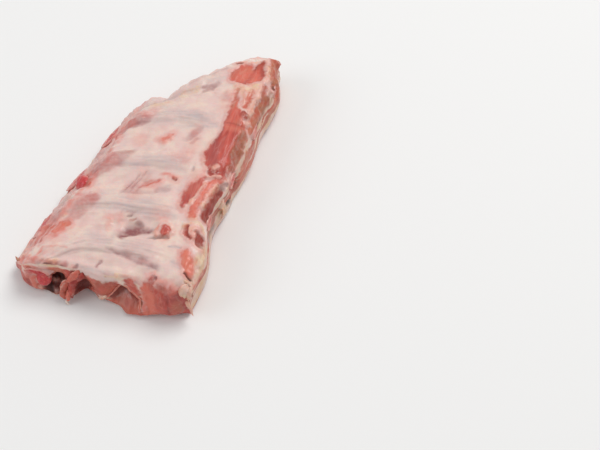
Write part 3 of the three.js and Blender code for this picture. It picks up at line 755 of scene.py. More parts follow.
LEFT_MARKS = (
    # sawn left edge: red rib ends, salmon streaks and mauve rib skin
    Mark("top", ((-38.4, 26), (-35.8, 29.6), (-32.6, 31.6)), (1.8, 3.2, 1.8), 0.4, 2.6, lean=0.75, rosy=0.8),
    Mark("top", ((-37.4, 28), (-34, 31)), (1.2, 1.5), 0.3, 2, lean=1, rosy=0.3),
    Mark("top", ((-37, 23.6), (-33, 26)), (2.6, 2.2), 0.2, 3, rosy=0.5),
    Mark("top", ((-44, 20), (-36, 21)), (3, 3), 0, 4, rosy=0.2),
    Mark("top", ((-45.6, 18), (-43, 24), (-41, 30)), (0.7, 1.1, 0.8), 0, 1.4, lean=0.9, dark=0.06),
    Mark("left", ((17, 17), (24, 17.6), (31, 19)), (1.4, 2, 1.4), 0, 2, lean=0.9, dark=0.06),
    Mark("top", ((-44, 3), (-42.4, 7), (-41.6, 13.6)), (1.8, 1.7, 1), 0.3, 2.2, rosy=0.85),
    Mark("top", ((-41, 14), (-34, 15), (-26, 15.4)), (0.9, 1.1, 0.6), 0.2, 2, rosy=0.45),
    Mark("top", ((-46, 22), (-38, 40), (-34, 60)), (1.5, 2, 1.5), 0, 4, rosy=0.45),
    Mark("top", ((-57, 10.8), (-52, 8.4), (-47.4, 6.2)), (0.8, 1, 0.8), 0.2, 1.4, lean=0.6, rosy=0.7),
    Mark("top", ((-55, 13), (-49, 10)), (0.8, 0.8), 0.3, 1.4, fat=1),
    Mark("top", ((-33.6, 35), (-29, 44), (-24, 52)), (3, 4.6, 3.6), 0, 4, mauve=0.4, rosy=0.25),
    Mark("top", ((-30, 47), (-23, 53)), (2.4, 2.6), 0.2, 3, mauve=0.35, rosy=0.2),
    Mark("top", ((-40.5, 71.5), (-33, 63.5)), (3.6, 3.4), 0.4, 2.6, lean=1, mauve=0.1),
    Mark("top", ((-36, 66), (-31.6, 61)), (1.4, 1.2), 0, 2, dark=0.2),
    Mark("top", ((-40, 57), (-33, 53)), (0.8, 1), 0.2, 2, rosy=0.65),
    Mark("top", ((-37.6, 37.6), (-37.2, 38.2)), (0.9, 0.9), 0.3, 1.2, fat=1),
    Mark("top", ((-34, 68), (-26, 76), (-20, 84), (-13, 91)), (3.4, 5, 5, 2), 0, 4, mauve=0.5, rosy=0.12),
    Mark("top", ((-37, 76), (-30, 84), (-27, 92)), (1, 1.4, 1), 0, 3, rosy=0.35, mauve=0.2),
    Mark("top", ((-27, 108), (-20, 115), (-12, 120)), (3, 4.4, 2.4), 0, 3, mauve=0.62, rosy=0.1),
    Mark("top", ((-16.4, 118.8), (-15.4, 119.4)), (0.8, 0.8), 0.5, 0.9, mauve=-0.6),
    Mark("top", ((-30, 107), (-26, 101.5)), (1.6, 1.4), 0.7, 2, lean=1),
    Mark("top", ((-30, 92), (-27.4, 99)), (0.8, 1), 0, 2, mauve=0.5, rosy=0.2),
    Mark("top", ((-27.6, 113), (-24, 116)), (0.8, 0.8), 0.2, 1.5, rosy=0.7),
)

EDGE_MARKS = (
    # ragged front edge of the membrane
    Mark("top", ((14, 1.6), (18, 2.8), (22, 2.2)), (0.8, 1.2, 0.8), -0.3, 2, lean=0.9),
    Mark("top", ((26, 7), (29, 8.4)), (1.1, 1.1), -0.3, 2.4, lean=0.7, mauve=0.2),
    Mark("top", ((26, 4.6), (34, 5.4), (44, 4)), (2.4, 2.8, 2), 0, 4, rosy=0.4),
    Mark("top", ((28, 8.4), (29.5, 9.2)), (0.9, 0.7), -0.3, 1.4, mauve=0.6, dark=0.15),
    Mark("top", ((-30, 4.6), (-24, 5.4)), (1.2, 1.6), -0.6, 2, mauve=0.6, grey=0.4),
    Mark("top", ((-18.5, 5), (-16.5, 6)), (0.7, 0.8), -0.4, 1.2, mauve=0.7, dark=0.3),
    Mark("top", ((-6, 8), (-4.5, 11)), (0.7, 1), -0.4, 1.4, mauve=0.6, dark=0.1),
    Mark("top", ((-16, 6), (-6, 5.4), (3, 6)), (1.4, 1.8, 1.2), -0.3, 3, grey=0.6),
    Mark("top", ((-34, 5), (-30, 7)), (0.7, 0.9), 0.4, 1.2, fat=1),
)

FRONT_MARKS = (
    # brown-red corner and the pink ring that holds the sawn rib
    Mark("front", ((-56, 5), (-49, 6)), (4, 4.6), 0, 2.5, lean=1, mauve=0.2, dark=0.1),
    Mark("front", ((-56, 14), (-50, 17)), (1.2, 1.4), 0.3, 2, fat=1, rosy=0.6),
    Mark(
        "front", ((-45, 16), (-44, 9), (-42, 3), (-36, 2)), (1.6, 1.8, 1.6, 1.6), 0.8, 2,
        lean=0.5, rosy=0.7,
    ),
    Mark("front", ((-57, 13), (-44, 18), (-30, 20)), (2.2, 2.2, 2), 0, 3, rosy=0.6, mauve=0.1),
    Mark("top", ((-54, 9), (-42, 5), (-30, 4)), (1.4, 1.6, 1.4), 0, 4, rosy=0.4, mauve=0.15),
    Mark("front", ((-44, 20), (-36, 20)), (2.2, 2.2), 0, 2, lean=-1, fat=-1),
    Mark("front", ((-32, 18), (-27, 18)), (3, 2.6), 0, 3, lean=1, grey=0.5, dark=0.1),
    # black hollow over a grey-brown shelf, the wall behind the flap, and the brown hollow; both hollows are
    # darkened as painted shade
    # the black hollow: near-black painted shade
    Mark("front", ((-35, 4), (-32, 8), (-29, 13)), (3, 3.4, 2.4), -1.8, 3, lean=1, dark=1),
    Mark("top", ((-35, 1.4), (-30, 2.4), (-26, 3)), (2, 2, 2), -0.6, 3, lean=1, dark=0.9),
    Mark("top", ((-36, -3.4), (-31, -4), (-26, -3)), (3.2, 3.2, 3), 0, 4, lean=0.8, grey=1, dark=0.2),
    Mark("front", ((-36, 1), (-31, 1.4), (-26, 1)), (2, 2.2, 2), 0, 2, lean=0.8, grey=1, dark=0.2),
    Mark("front", ((-24, 6), (-22, 13), (-19, 20)), (2.6, 3, 3), 0, 3, lean=1, dark=0.25),
    # the brown hollow beside the flap: dark painted shade
    Mark("front", ((-15.5, 2), (-15, 8), (-14, 11)), (3, 3.4, 2.6), -1.4, 3, lean=1, dark=0.75),
    Mark("front", ((-13.5, 17), (-11, 13)), (3, 3), 0, 3, lean=1, mauve=0.25, grey=0.3),
    # membrane hanging over the edge, the brown sheet and the cream strip at the notch
    Mark("front", ((-15, 22), (-4, 22.6), (6, 22.4)), (2.2, 2.6, 2.2), 0.3, 2, lean=-1, fat=-1, grey=0.3),
    Mark("front", ((-2, 20), (5, 19.6)), (0.8, 1), 0, 3, mauve=0.4, grey=0.2),
    Mark("front", ((-8.6, 13), (-2, 14.4), (4.6, 13)), (5, 5.4, 3.8), 0, 4, lean=1, grey=0.35, dark=0.03),
    Mark("front", ((4.6, 18), (6, 15)), (1, 1.3), 0, 2, rosy=0.2, dark=0.1),
    Mark("front", ((9.2, 27), (10, 22), (10.4, 17)), (3.8, 2.8, 1.2), 1, 3, lean=-1, fat=1),
    Mark("front", ((-2, 1), (5, 3), (12, 4), (19, 4)), (2, 3, 3.6, 3), 0, 4, lean=1, grey=0.15, rosy=0.45),
    # the orange shelf under the arch, a little darkened, and the hollow above it, darkened more: painted
    # shade under the arch
    Mark("top", ((2, -1), (11, -2), (18, 0)), (4, 6, 4), 0, 4, lean=1, grey=0.15, rosy=0.25, dark=0.16),
    Mark("front", ((2, 7), (10, 12), (18, 10)), (1.8, 3, 2), -0.8, 3, lean=1, dark=0.55, rosy=0.2),
    # orange sheet and the big lobe with its darker right half
    Mark("front", ((15, 23), (17.6, 19), (19.5, 16)), (2.8, 3, 2.6), 0.3, 3, lean=1, rosy=0.25),
    Mark("front", ((26, 20), (30, 15), (34, 8), (42, 8)), (4, 8, 8, 7.4), 0.4, 5, lean=1),
    Mark("front", ((30, 19), (38, 18), (44, 17)), (4, 6, 5.6), 0, 4, lean=1),
    # salmon down the lobe's left rim, partly its colour and partly a painted highlight
    Mark("front", ((24.4, 20), (26.6, 13), (28.6, 6)), (2.4, 3.6, 2.8), 0, 4, rosy=0.85),
    Mark("front", ((25.6, 18), (27, 13)), (1.4, 1.6), 0, 4, fat=0.55),
    Mark("front", ((33, 20), (34, 12), (34.6, 5)), (1.4, 2, 1.6), 0, 5, rosy=0.35),
    Mark("front", ((31, 23.6), (39, 24)), (1.6, 1.8), 0, 3, lean=0.85, mauve=0.5, grey=0.2),
    Mark("front", ((22.6, 14), (23.2, 8), (25.4, 3)), (1.2, 1.6, 1.3), 0.3, 2, rosy=0.85),
    Mark("front", ((41, 20), (43, 13), (42, 8)), (4, 5, 4.4), 0.9, 5, mauve=0.35, dark=0.05),
    # dark line in the crease between the lobe's halves: painted shade
    Mark("front", ((37.6, 19), (38.6, 13), (38, 7)), (0.5, 0.7, 0.5), -0.7, 2, dark=0.22),
    Mark("front", ((48.6, 25), (49.4, 20), (50.2, 8)), (1.8, 1.2, 0.8), 0.4, 2, lean=-1, fat=1),
    Mark("front", ((50, 16), (50, 8)), (0.8, 0.8), 0, 1.5, grey=0.9, dark=0.3),
)

RIGHT_MARKS = (
    Mark("right", ((12, 21), (22, 19)), (1.6, 2.4), 0.2, 2, lean=0.6, rosy=0.5, grey=0.3),
    Mark("right", ((54, 16), (66, 17), (74, 21)), (2.4, 3.4, 2.6), 0, 3, lean=0.9, grey=0.5, dark=0.1),
    # dark pits sunk into the loin side: painted shade
    Mark("right", ((52, 10), (62, 8)), (2, 2.4), -0.8, 3, grey=0.8, dark=0.45),
    Mark("right", ((80, 11), (84, 8)), (2, 2.2), -1.8, 2.4, grey=0.6, dark=0.9),
    Mark("right", ((89, 17), (94, 19)), (1, 1.2), -1, 1.8, grey=0.8, dark=0.6),
    Mark("right", ((71, 20), (74, 11)), (2, 2.2), 0.8, 2, lean=-1, fat=1),
    Mark("right", ((98, 14), (110, 19), (122, 15)), (2.6, 4, 2.4), 0.3, 3, lean=0.9, grey=0.4),
    Mark("right", ((128, 21), (146, 22), (160, 21)), (1, 1.6, 1), 0, 2, grey=0.9, dark=0.2),
    Mark("right", ((150, 14), (166, 15)), (2.4, 2.8), 0.3, 3, lean=0.9, grey=0.4),
    # a small dark pit: painted shade
    Mark("right", ((163, 24), (164.6, 25)), (0.8, 0.9), -0.8, 1.2, grey=0.7, dark=0.7),
)

MARKS = FAR_MARKS + STRIP_MARKS + MIDDLE_MARKS + LEFT_MARKS + EDGE_MARKS + FRONT_MARKS + RIGHT_MARKS

# Each face's two plan axes, and the direction that it looks in.
FACES = {
    "top": ((0, 1), (0, 0, 1)),
    "under": ((0, 1), (0, 0, -1)),
    "front": ((0, 2), (0, -1, 0)),
    "back": ((0, 2), (0, 1, 0)),
    "right": ((1, 2), (1, 0, 0)),
    "left": ((1, 2), (-1, 0, 0)),
}
FACING_FROM = 0.3
FACING_TO = 0.5
# The front's marks stay below this y, and the right side's beyond this x.
FRONT_REACH = 25
RIGHT_REACH = 38
# Facing another way counts as this far outside a mark, and a mark is worked out for the points
# up to its widest half and this spare away from its path's box.
OFF_FACE = 12
MARK_SPARE = 8
BARE = -6.0
VEIL = 0.9
WANDER_WIDE = 1.1
WIDE_SIZE = 6
WANDER_FINE = 0.45
FINE_SIZE = 1.7


def tint_over(old, amount):
    """Layers a tint over another, so that two of them never pass 1; a negative one wipes."""
    return np.where(amount >= 0, 1 - (1 - old) * (1 - amount), old * (1 + amount))


def swayed(points):
    """Points moved a little by noise, so that outlines drawn with them wander."""
    sway = [
        WANDER_WIDE * fractal_noise(points / WIDE_SIZE, 2, seed)
        + WANDER_FINE * value_noise(points / FINE_SIZE, seed + 9)
        for seed in (1, 2, 3)
    ]
    return points + np.stack(sway, axis=1)


class Paint:
    """What is laid on a set of surface points: lean and fat as signed millimetres inside their
    outlines, tints from 0 to 1, and how far the surface rises."""

    def __init__(self, points, normals):
        self.place = swayed(points)
        self.rise = np.zeros(len(points))
        self.tints = {name: np.zeros(len(points)) for name in ("rosy", "mauve", "grey", "dark")}
        self.facing = {
            face: smooth((normals @ np.array(way) - FACING_FROM) / (FACING_TO - FACING_FROM))
            for face, (_, way) in FACES.items()
        }
        self.facing["front"] *= points[:, 1] < FRONT_REACH
        self.facing["right"] *= points[:, 0] > RIGHT_REACH
        self.lean = np.full(len(points), BARE)
        self.fat = np.full(len(points), BARE)

    def tint(self, name, amount):
        """Layers a tint over the whole surface."""
        self.tints[name] = tint_over(self.tints[name], amount)

    def lay(self, m):
        """Lays one mark: its share at a point eases from 0 to 1 with how far the point lies
        inside the mark's outline, and a point that faces another way counts as outside it."""
        axes, _ = FACES[m.face]
        reach = max(m.halves) + MARK_SPARE
        a, b = self.place[:, axes[0]], self.place[:, axes[1]]
        path = np.array(m.path, float)
        low, high = path.min(axis=0) - reach, path.max(axis=0) + reach
        near = (a > low[0]) & (a < high[0]) & (b > low[1]) & (b < high[1])
        near &= self.facing[m.face] > 0
        facing = self.facing[m.face][near]
        inside = -distance_to_line(m.path, a[near], b[near], m.halves) - OFF_FACE * (1 - facing)
        share = smooth(0.5 + inside / m.soft)
        self.rise[near] += m.rise * share
        for name in ("lean", "fat"):
            amount = getattr(m, name)
            field = getattr(self, name)
            if amount > 0:
                most = np.inf if amount == 1 else VEIL * (2 * amount - 1)
                field[near] = np.maximum(field[near], np.minimum(inside, most))
            elif amount < 0:
                field[near] = np.minimum(field[near], -inside)
        for name, tint in self.tints.items():
            amount = getattr(m, name)
            if amount:
                tint[near] = tint_over(tint[near], amount * share)


WRINKLE_DEPTH = 0.3
LUMP_DEPTH = 0.6
LOBULE_DEPTH = 0.28
GROOVE_DEPTH = 0.9
SIDE_DEPTH = 0.9
FIBRE_DEPTH = 0.15
# Ruffles run along the top's rim: a bell of how far the outward direction's upward part is
# from a middle value.
RUFFLE_DEPTH = 1.1
RUFFLE_AT = 0.5
RUFFLE_HALF = 0.35
# The membrane is raised round bare lean, by a bell of the distance outside the lean's outline.
RIM_RISE = 0.4
RIM_OUTSIDE = 0.9
# Relief is less up to this height over the floor.
FLOOR_REACH = 2.5
# Fat hides lean where it lies this much further inside its outline than the lean does.
FAT_LEAD = 3
# Heights above the limit are drawn in, to less than the spare above it.
TOP_LIMIT = 33.0
TOP_SPARE = 1.2
SOCKET_DEPTH = 1.4
SOCKET_REACH = 16
# A socket ends at this share of the bone's oval. A rosy ring lies round it, beginning this far
# behind the cut, and is fainter at the loin edge.
SOCKET_OVAL = 1.09
SOCKET_SOFT = 0.16
RING_OVAL = 1.2
RING_HALF = 0.25
RING_BEHIND = 8
RING_EASE = 4
LOIN_REDNESS = 0.35


def bone_frame(path):
    """Directions along a path, sideways to it and over it."""
    ahead = np.gradient(path, axis=0)
    ahead /= np.linalg.norm(ahead, axis=1, keepdims=True)
    side = np.cross((0, 0, 1), ahead)
    side /= np.linalg.norm(side, axis=1, keepdims=True)
    return ahead, side, np.cross(ahead, side)


def open_sockets(points):
    """Draws the slab's skin in behind each sawn bone end: a point inside the bone's oval moves
    along the bone to a little behind the cut. Fat covers the first bone's right end, and the
    last one's left end lies inside. Returns the points and a ring round each end."""
    moved = points.copy()
    ring = np.zeros(len(points))
    for index, slants in enumerate(SLANTS):
        path, _ = bone_path(index)
        ahead, side, over = bone_frame(path)
        ends = []
        if index > 0:
            ends.append((-1, -1, (0, 0), LOIN_REDNESS))
        if index < len(SLANTS) - 1:
            ends.append((0, 1, slants, 1))
        for end, way, (up_slant, side_slant), redness in ends:
            away = points - path[end]
            a, b = away @ side[end], away @ over[end]
            along = away @ (ahead[end] * way)
            oval = np.hypot(a / RIB_HALF_WIDTH, b / RIB_HALF_THICKNESS)
            beyond = up_slant * b + side_slant * a - along
            near = (beyond < SOCKET_REACH) & (along < SOCKET_REACH)
            push = np.maximum(0, beyond + SOCKET_DEPTH) * smooth((SOCKET_OVAL - oval) / SOCKET_SOFT) * near
            moved += push[:, None] * ahead[end] * way
            round_it = near * bell(oval - RING_OVAL, RING_HALF)
            ring = np.maximum(ring, redness * round_it * smooth((beyond + RING_BEHIND) / RING_EASE))
    return moved, ring


# Layers in the cut sides, by the share of the way down: a band of lean with a seam in it.
LAYER_GRAIN = np.array((14, 24, 4.5))
DEPTH_GRAIN = np.array((16, 20, 16))
DEPTH_SWAY = 0.2
BAND_TOP = 0.12
BAND_FOOT = 0.72
SEAM_AT = 0.42
SEAM_HALF = 0.05
# Size of the underside's patches of lean, each way.
UNDER_GRAIN = np.array((22, 34, 22))


def lay_base(paint, points, level):
    """Lean and fat of the sides and the underside, in layers that wander along them. The front
    is mostly lean; the other sides have a band of lean between fat above and below it, parted
    by a seam. Returns the noise of the layers."""
    up, under = paint.facing["top"], paint.facing["under"]
    side = np.clip(1 - up - under, 0, 1)
    layers = fractal_noise(points / LAYER_GRAIN, 3, 21)
    depth = level + DEPTH_SWAY * fractal_noise(points / DEPTH_GRAIN, 3, 23)
    band = smooth((depth - BAND_TOP) / 0.14) * smooth((BAND_FOOT - depth) / 0.2)
    seams = bell(depth - SEAM_AT - 0.1 * value_noise(points / 19, 25), SEAM_HALF)
    banded = 6 * band - 3.2 - 3.4 * seams + 3 * layers
    front_lean = 2 + 5 * layers - 5 * smooth((0.14 - level) / 0.12)
    side_lean = mix(banded, front_lean, paint.facing["front"])
    under_lean = 2.4 + 6 * fractal_noise(points / UNDER_GRAIN, 3, 31)
    paint.lean = up * BARE + side * side_lean + under * under_lean
    cream = 1.2 + 3 * value_noise(points / 7, 41)
    paint.fat = np.where(up > 0.5, BARE, cream)
    greyer = 0.1 + 0.4 * paint.facing["right"] + 0.2 * paint.facing["back"]
    paint.tint("grey", side * greyer + 0.2 * under)
    return layers


# Across the ribs, by the distance past a rib's line: a groove beside it, greyed as painted shade, and a grey
# band on it.
GROOVE_AT = -6.4
GROOVE_HALF = 2.3
GREY_AT = -1.5
GREY_HALF = 5.5
# Both fade out towards the loin past this x, and so does the closeness to the ribs past its own.
GREY_TO = 14
GREY_FADE = 16
CLOSE_TO = 20
CLOSE_FADE = 14
# The pink band at the sawn edge: its width, how much wider it is on a rib, and its sway.
PINK_WIDTH = 13
PINK_ON_RIB = 12
PINK_SWAY = 4


def tint_membrane(paint, points, across_ribs, closeness, lumps):
    """Grey along the ribs, grey painted shade in the groove beside each rib and in the hollows between lumps,
    blushes, and the pink band at the sawn edge.
    Returns how deep in the groove beside a rib each point lies, from 0 to 1."""
    x, y, _ = points.T
    up = paint.facing["top"]
    offset = rib_offset(across_ribs)
    left = 1 - smooth((x - GREY_TO) / GREY_FADE)
    groove = bell(offset - GROOVE_AT, GROOVE_HALF) * left
    along_noise = 0.5 + 0.5 * fractal_noise(points / np.array((16, 9, 16)), 2, 55)
    band = bell(offset - GREY_AT, GREY_HALF) * left
    paint.tint("grey", up * np.clip(0.06 + 0.86 * band * along_noise, 0, 0.85))
    # painted shade: grey in the groove on each rib's near side
    paint.tint("grey", up * 0.6 * groove * along_noise)
    # painted shade: grey in the low places between the lumps
    paint.tint("grey", up * 0.25 * smooth((-lumps - 0.1) / 0.5))
    paint.tint("mauve", up * 0.1 * closeness * smooth(along_noise * 1.6 - 0.6))
    paint.tint("rosy", up * 0.3 * smooth((value_noise(points / 11, 57) - 0.1) / 0.6))
    width = PINK_WIDTH + PINK_ON_RIB * closeness + PINK_SWAY * fractal_noise(points / 9, 2, 58)
    edge = up * smooth((width - left_distance(x, y)) / 6)
    patchy = fractal_noise(points / np.array((9, 13, 9)), 2, 59)
    paint.tint("mauve", edge * np.clip(0.2 + 0.4 * patchy, 0, 1))
    paint.tint("rosy", edge * np.clip(0.36 - 0.4 * patchy, 0, 1))
    paint.tints["grey"] *= 1 - 0.7 * edge
    paint.tint("rosy", up * 0.4 * bell(paint.lean + 1.4, 1.4))
    return groove


def skin_relief(paint, points, normals, layers):
    """Tints the membrane, and returns how far each point moves along its normal, and the grain.
    That is the marks' own rise; on top also lumps, the membrane's wrinkles and lobules less its
    grooves, the lean's fibres and the rim round it; on the sides their layers and the same
    lumps; and the ruffles along the top's rim."""
    x, y, z = points.T
    up = paint.facing["top"]
    across_ribs = rib_place(x, y)
    closeness = np.clip(rib_closeness(x, y), 0, 1) * (1 - smooth((x - CLOSE_TO) / CLOSE_FADE))
    grain = np.stack([x, across_ribs, z], axis=1)

    lumps = fractal_noise(points / 10, 2, 81) + 0.4 * value_noise(points / 3.2, 91)
    groove = tint_membrane(paint, points, across_ribs, closeness, lumps)
    wrinkles = fractal_noise(grain / np.array((18, 1.6, 18)), 3, 71)
    lobules = fractal_noise(points / 4.6, 2, 95)
    fibres = fractal_noise(points / np.array((1.3, 11, 1.3)), 2, 101)
    inside_lean = smooth(paint.lean / 2)
    on_membrane = up * (1 - inside_lean)
    rise = paint.rise
    rise = rise + on_membrane * WRINKLE_DEPTH * wrinkles * (0.35 + closeness)
    rise = rise + on_membrane * LOBULE_DEPTH * lobules * (1 - 0.6 * closeness)
    rise = rise - on_membrane * GROOVE_DEPTH * groove
    rise = rise + up * LUMP_DEPTH * lumps
    rise = rise + up * inside_lean * FIBRE_DEPTH * fibres
    rise = rise + up * RIM_RISE * bell(paint.lean + RIM_OUTSIDE, RIM_OUTSIDE)
    rise = rise + (1 - up) * SIDE_DEPTH * (0.6 * layers + 0.4 * lumps)
    rim = bell(normals[:, 2] / np.linalg.norm(normals, axis=1) - RUFFLE_AT, RUFFLE_HALF)
    return rise + RUFFLE_DEPTH * rim * fractal_noise(points / 4.5, 2, 111), grain


def dressed_slab():
    """The slab with its marks and its relief, which is less near the floor and underneath, and
    with its sockets opened. Returns points, faces and the attributes that the material reads."""
    points, faces, level = slab_surface()
    normals = vertex_normals(points, faces)
    paint = Paint(points, normals)
    layers = lay_base(paint, points, level)
    for m in MARKS:
        paint.lay(m)
    hidden = np.minimum(paint.lean, 0.6 - paint.fat)
    paint.lean = np.where(paint.fat > paint.lean + FAT_LEAD, hidden, paint.lean)
    rise, grain = skin_relief(paint, points, normals, layers)
    near_floor = 0.15 + 0.85 * smooth(points[:, 2] / FLOOR_REACH)
    underneath = np.where(paint.facing["under"] > 0.5, 0.5, 1)
    moved = points + normals * (rise * underneath * near_floor)[:, None]
    moved, ring = open_sockets(moved)
    high = np.maximum(0, moved[:, 2] - TOP_LIMIT)
    moved[:, 2] = np.minimum(moved[:, 2], TOP_LIMIT) + TOP_SPARE * (1 - np.exp(-high / TOP_SPARE))
    moved[:, 2] = np.maximum(moved[:, 2], 0)
    paint.tint("rosy", 0.7 * ring)
    paint.lean = np.where(ring > 0.4, np.minimum(paint.lean, 0.4), paint.lean)
    tints = paint.tints
    fields = np.stack([paint.lean, paint.fat, tints["dark"]], axis=1)
    shades = np.stack([tints["rosy"], tints["mauve"], tints["grey"]], axis=1)
    return moved, faces, {"fields": fields, "shades": shades, "grain": grain * MM}


def make_piece(name, points, faces, attributes, material):
    """A mesh from points in plan millimetres, blocks of faces and named vector attributes."""
    placed = (points - np.array((*PLAN_MIDDLE, 0))) * MM
    mesh = bpy.data.meshes.new(name)
    loops = np.concatenate([block.ravel() for block in faces])
    sizes = np.concatenate([np.full(len(block), block.shape[1]) for block in faces])
    mesh.vertices.add(len(placed))
    mesh.vertices.foreach_set("co", placed.astype(np.float32).ravel())
    mesh.loops.add(len(loops))
    mesh.loops.foreach_set("vertex_index", loops.astype(np.int32))
    mesh.polygons.add(len(sizes))
    starts = np.concatenate([[0], np.cumsum(sizes)[:-1]])
    mesh.polygons.foreach_set("loop_start", starts.astype(np.int32))
    mesh.polygons.foreach_set("use_smooth", np.ones(len(sizes), bool))
    mesh.update(calc_edges=True)
    if mesh.validate():
        raise ValueError(name + " has faces that had to be repaired")
    for key, values in attributes.items():
        layer = mesh.attributes.new(key, "FLOAT_VECTOR", "POINT")
        layer.data.foreach_set("vector", np.asarray(values, np.float32).ravel())
    mesh.materials.append(material)
    piece = bpy.data.objects.new(name, mesh)
    bpy.context.scene.collection.objects.link(piece)
    return piece


def slab_points():
    """The slab piece's points, back in plan millimetres."""
    slab = bpy.data.objects.get("meat_slab")
    if slab is None:
        raise RuntimeError("the meat slab has to be made first")
    flat = np.empty(len(slab.data.vertices) * 3, np.float32)
    slab.data.vertices.foreach_get("co", flat)
    return flat.reshape(-1, 3) / MM + np.array((*PLAN_MIDDLE, 0))


def colour_of(red, green, blue):
    """Linear colour of a screen colour: each share is raised to about 2.4."""
    share = np.array((red, green, blue)) / 255
    linear = np.where(share <= 0.04045, share / 12.92, ((share + 0.055) / 1.055) ** 2.4)
    return tuple(float(c) for c in linear)


class NodeBook:
    """Short ways to add and join shader nodes in one node tree."""

    def __init__(self, tree):
        self.tree = tree

    def add(self, kind, inputs=None, **settings):
        """A new node with its settings and its inputs, each a value or a socket."""
        node = self.tree.nodes.new(kind)
        for key, value in settings.items():
            setattr(node, key, value)
        for key, value in (inputs or {}).items():
            self.feed(node.inputs[key], value)
        return node

    def feed(self, socket, value):
        """Joins a socket to an input, or sets the input's own value."""
        if isinstance(value, bpy.types.NodeSocket):
            self.tree.links.new(value, socket)
        elif socket.type == "RGBA" and len(value) == 3:
            socket.default_value = (*value, 1)
        else:
            socket.default_value = value

    def math(self, operation, a, b=0.0, clamp=False):
        node = self.add("ShaderNodeMath", {0: a, 1: b}, operation=operation, use_clamp=clamp)
        return node.outputs[0]

    def mix(self, share, a, b):
        node = self.add("ShaderNodeMix", {0: share, 6: a, 7: b}, data_type="RGBA")
        return node.outputs[2]

    def blend_values(self, share, a, b):
        node = self.add("ShaderNodeMix", {0: share, 2: a, 3: b}, data_type="FLOAT")
        return node.outputs[0]

    def range(self, value, low, high, to_low=0.0, to_high=1.0):
        """Eased from one range to another, held at both ends."""
        inputs = {0: value, 1: low, 2: high, 3: to_low, 4: to_high}
        return self.add("ShaderNodeMapRange", inputs, interpolation_type="SMOOTHSTEP").outputs[0]

    def scaled(self, vector, scale):
        return self.add("ShaderNodeMapping", {"Vector": vector, "Scale": scale}).outputs[0]

    def noise(self, vector, scale, detail=3.0, roughness=0.5, distortion=0.0):
        inputs = {
            "Vector": vector,
            "Scale": scale,
            "Detail": detail,
            "Roughness": roughness,
            "Distortion": distortion,
        }
        return self.add("ShaderNodeTexNoise", inputs).outputs[0]

    def cells(self, vector, scale):
        """Smoothed distance to the nearest of many scattered points."""
        inputs = {"Vector": vector, "Scale": scale}
        return self.add("ShaderNodeTexVoronoi", inputs, feature="SMOOTH_F1").outputs[0]

    def ridge(self, value, width):
        """1 where a noise passes through its middle, fading to 0 over a width each way."""
        from_middle = self.math("ABSOLUTE", self.math("SUBTRACT", value, 0.5))
        return self.range(from_middle, 0.0, width, 1.0, 0.0)

    def attribute(self, name):
        return self.add("ShaderNodeAttribute", attribute_name=name).outputs["Vector"]

    def parts(self, vector):
        return self.add("ShaderNodeSeparateXYZ", {0: vector}).outputs

    def object_place(self):
        return self.add("ShaderNodeTexCoord").outputs["Object"]

    def group(self, tree, inputs):
        return self.add("ShaderNodeGroup", inputs, node_tree=tree).outputs


FLOAT = "NodeSocketFloat"
COLOUR = "NodeSocketColor"
VECTOR = "NodeSocketVector"

# The colours that each effect takes, by the finish's names for them.
MEMBRANE_COLOURS = ("Membrane", "Cream", "Grey", "Mauve", "Rosy")
MUSCLE_COLOURS = ("Lean", "Deep", "Salmon", "Mauve", "Cream", "Tan")
FAT_COLOURS = ("Cream", "Yellow", "Rosy", "Tan")


def shader_group(name, inputs, outputs, build):
    """An effect with named inputs and outputs, built once: build gets the node book and the
    inputs by name, and returns the outputs by name."""
    if name in bpy.data.node_groups:
        return bpy.data.node_groups[name]
    tree = bpy.data.node_groups.new(name, "ShaderNodeTree")
    for label, kind in inputs.items():
        tree.interface.new_socket(label, in_out="INPUT", socket_type=kind)
    for label, kind in outputs.items():
        tree.interface.new_socket(label, in_out="OUTPUT", socket_type=kind)
    book = NodeBook(tree)
    entry = tree.nodes.new("NodeGroupInput")
    leaving = tree.nodes.new("NodeGroupOutput")
    results = build(book, entry.outputs)
    for label, value in results.items():
        book.feed(leaving.inputs[label], value)
    return tree


def ragged_patch():
    """A patch with a torn edge: its signed field in millimetres plus noise, cut at zero."""

    def build(book, inputs):
        coarse = book.noise(book.object_place(), 420, 3, 0.6)
        wander = book.math("MULTIPLY", book.math("SUBTRACT", coarse, 0.5), inputs["Wander"])
        field = book.math("ADD", inputs["Field"], wander)
        low = book.math("MULTIPLY", inputs["Softness"], -1)
        return {"Mask": book.range(field, low, inputs["Softness"])}

    inputs = {"Field": FLOAT, "Wander": FLOAT, "Softness": FLOAT}
    return shader_group("Ragged patch", inputs, {"Mask": FLOAT}, build)


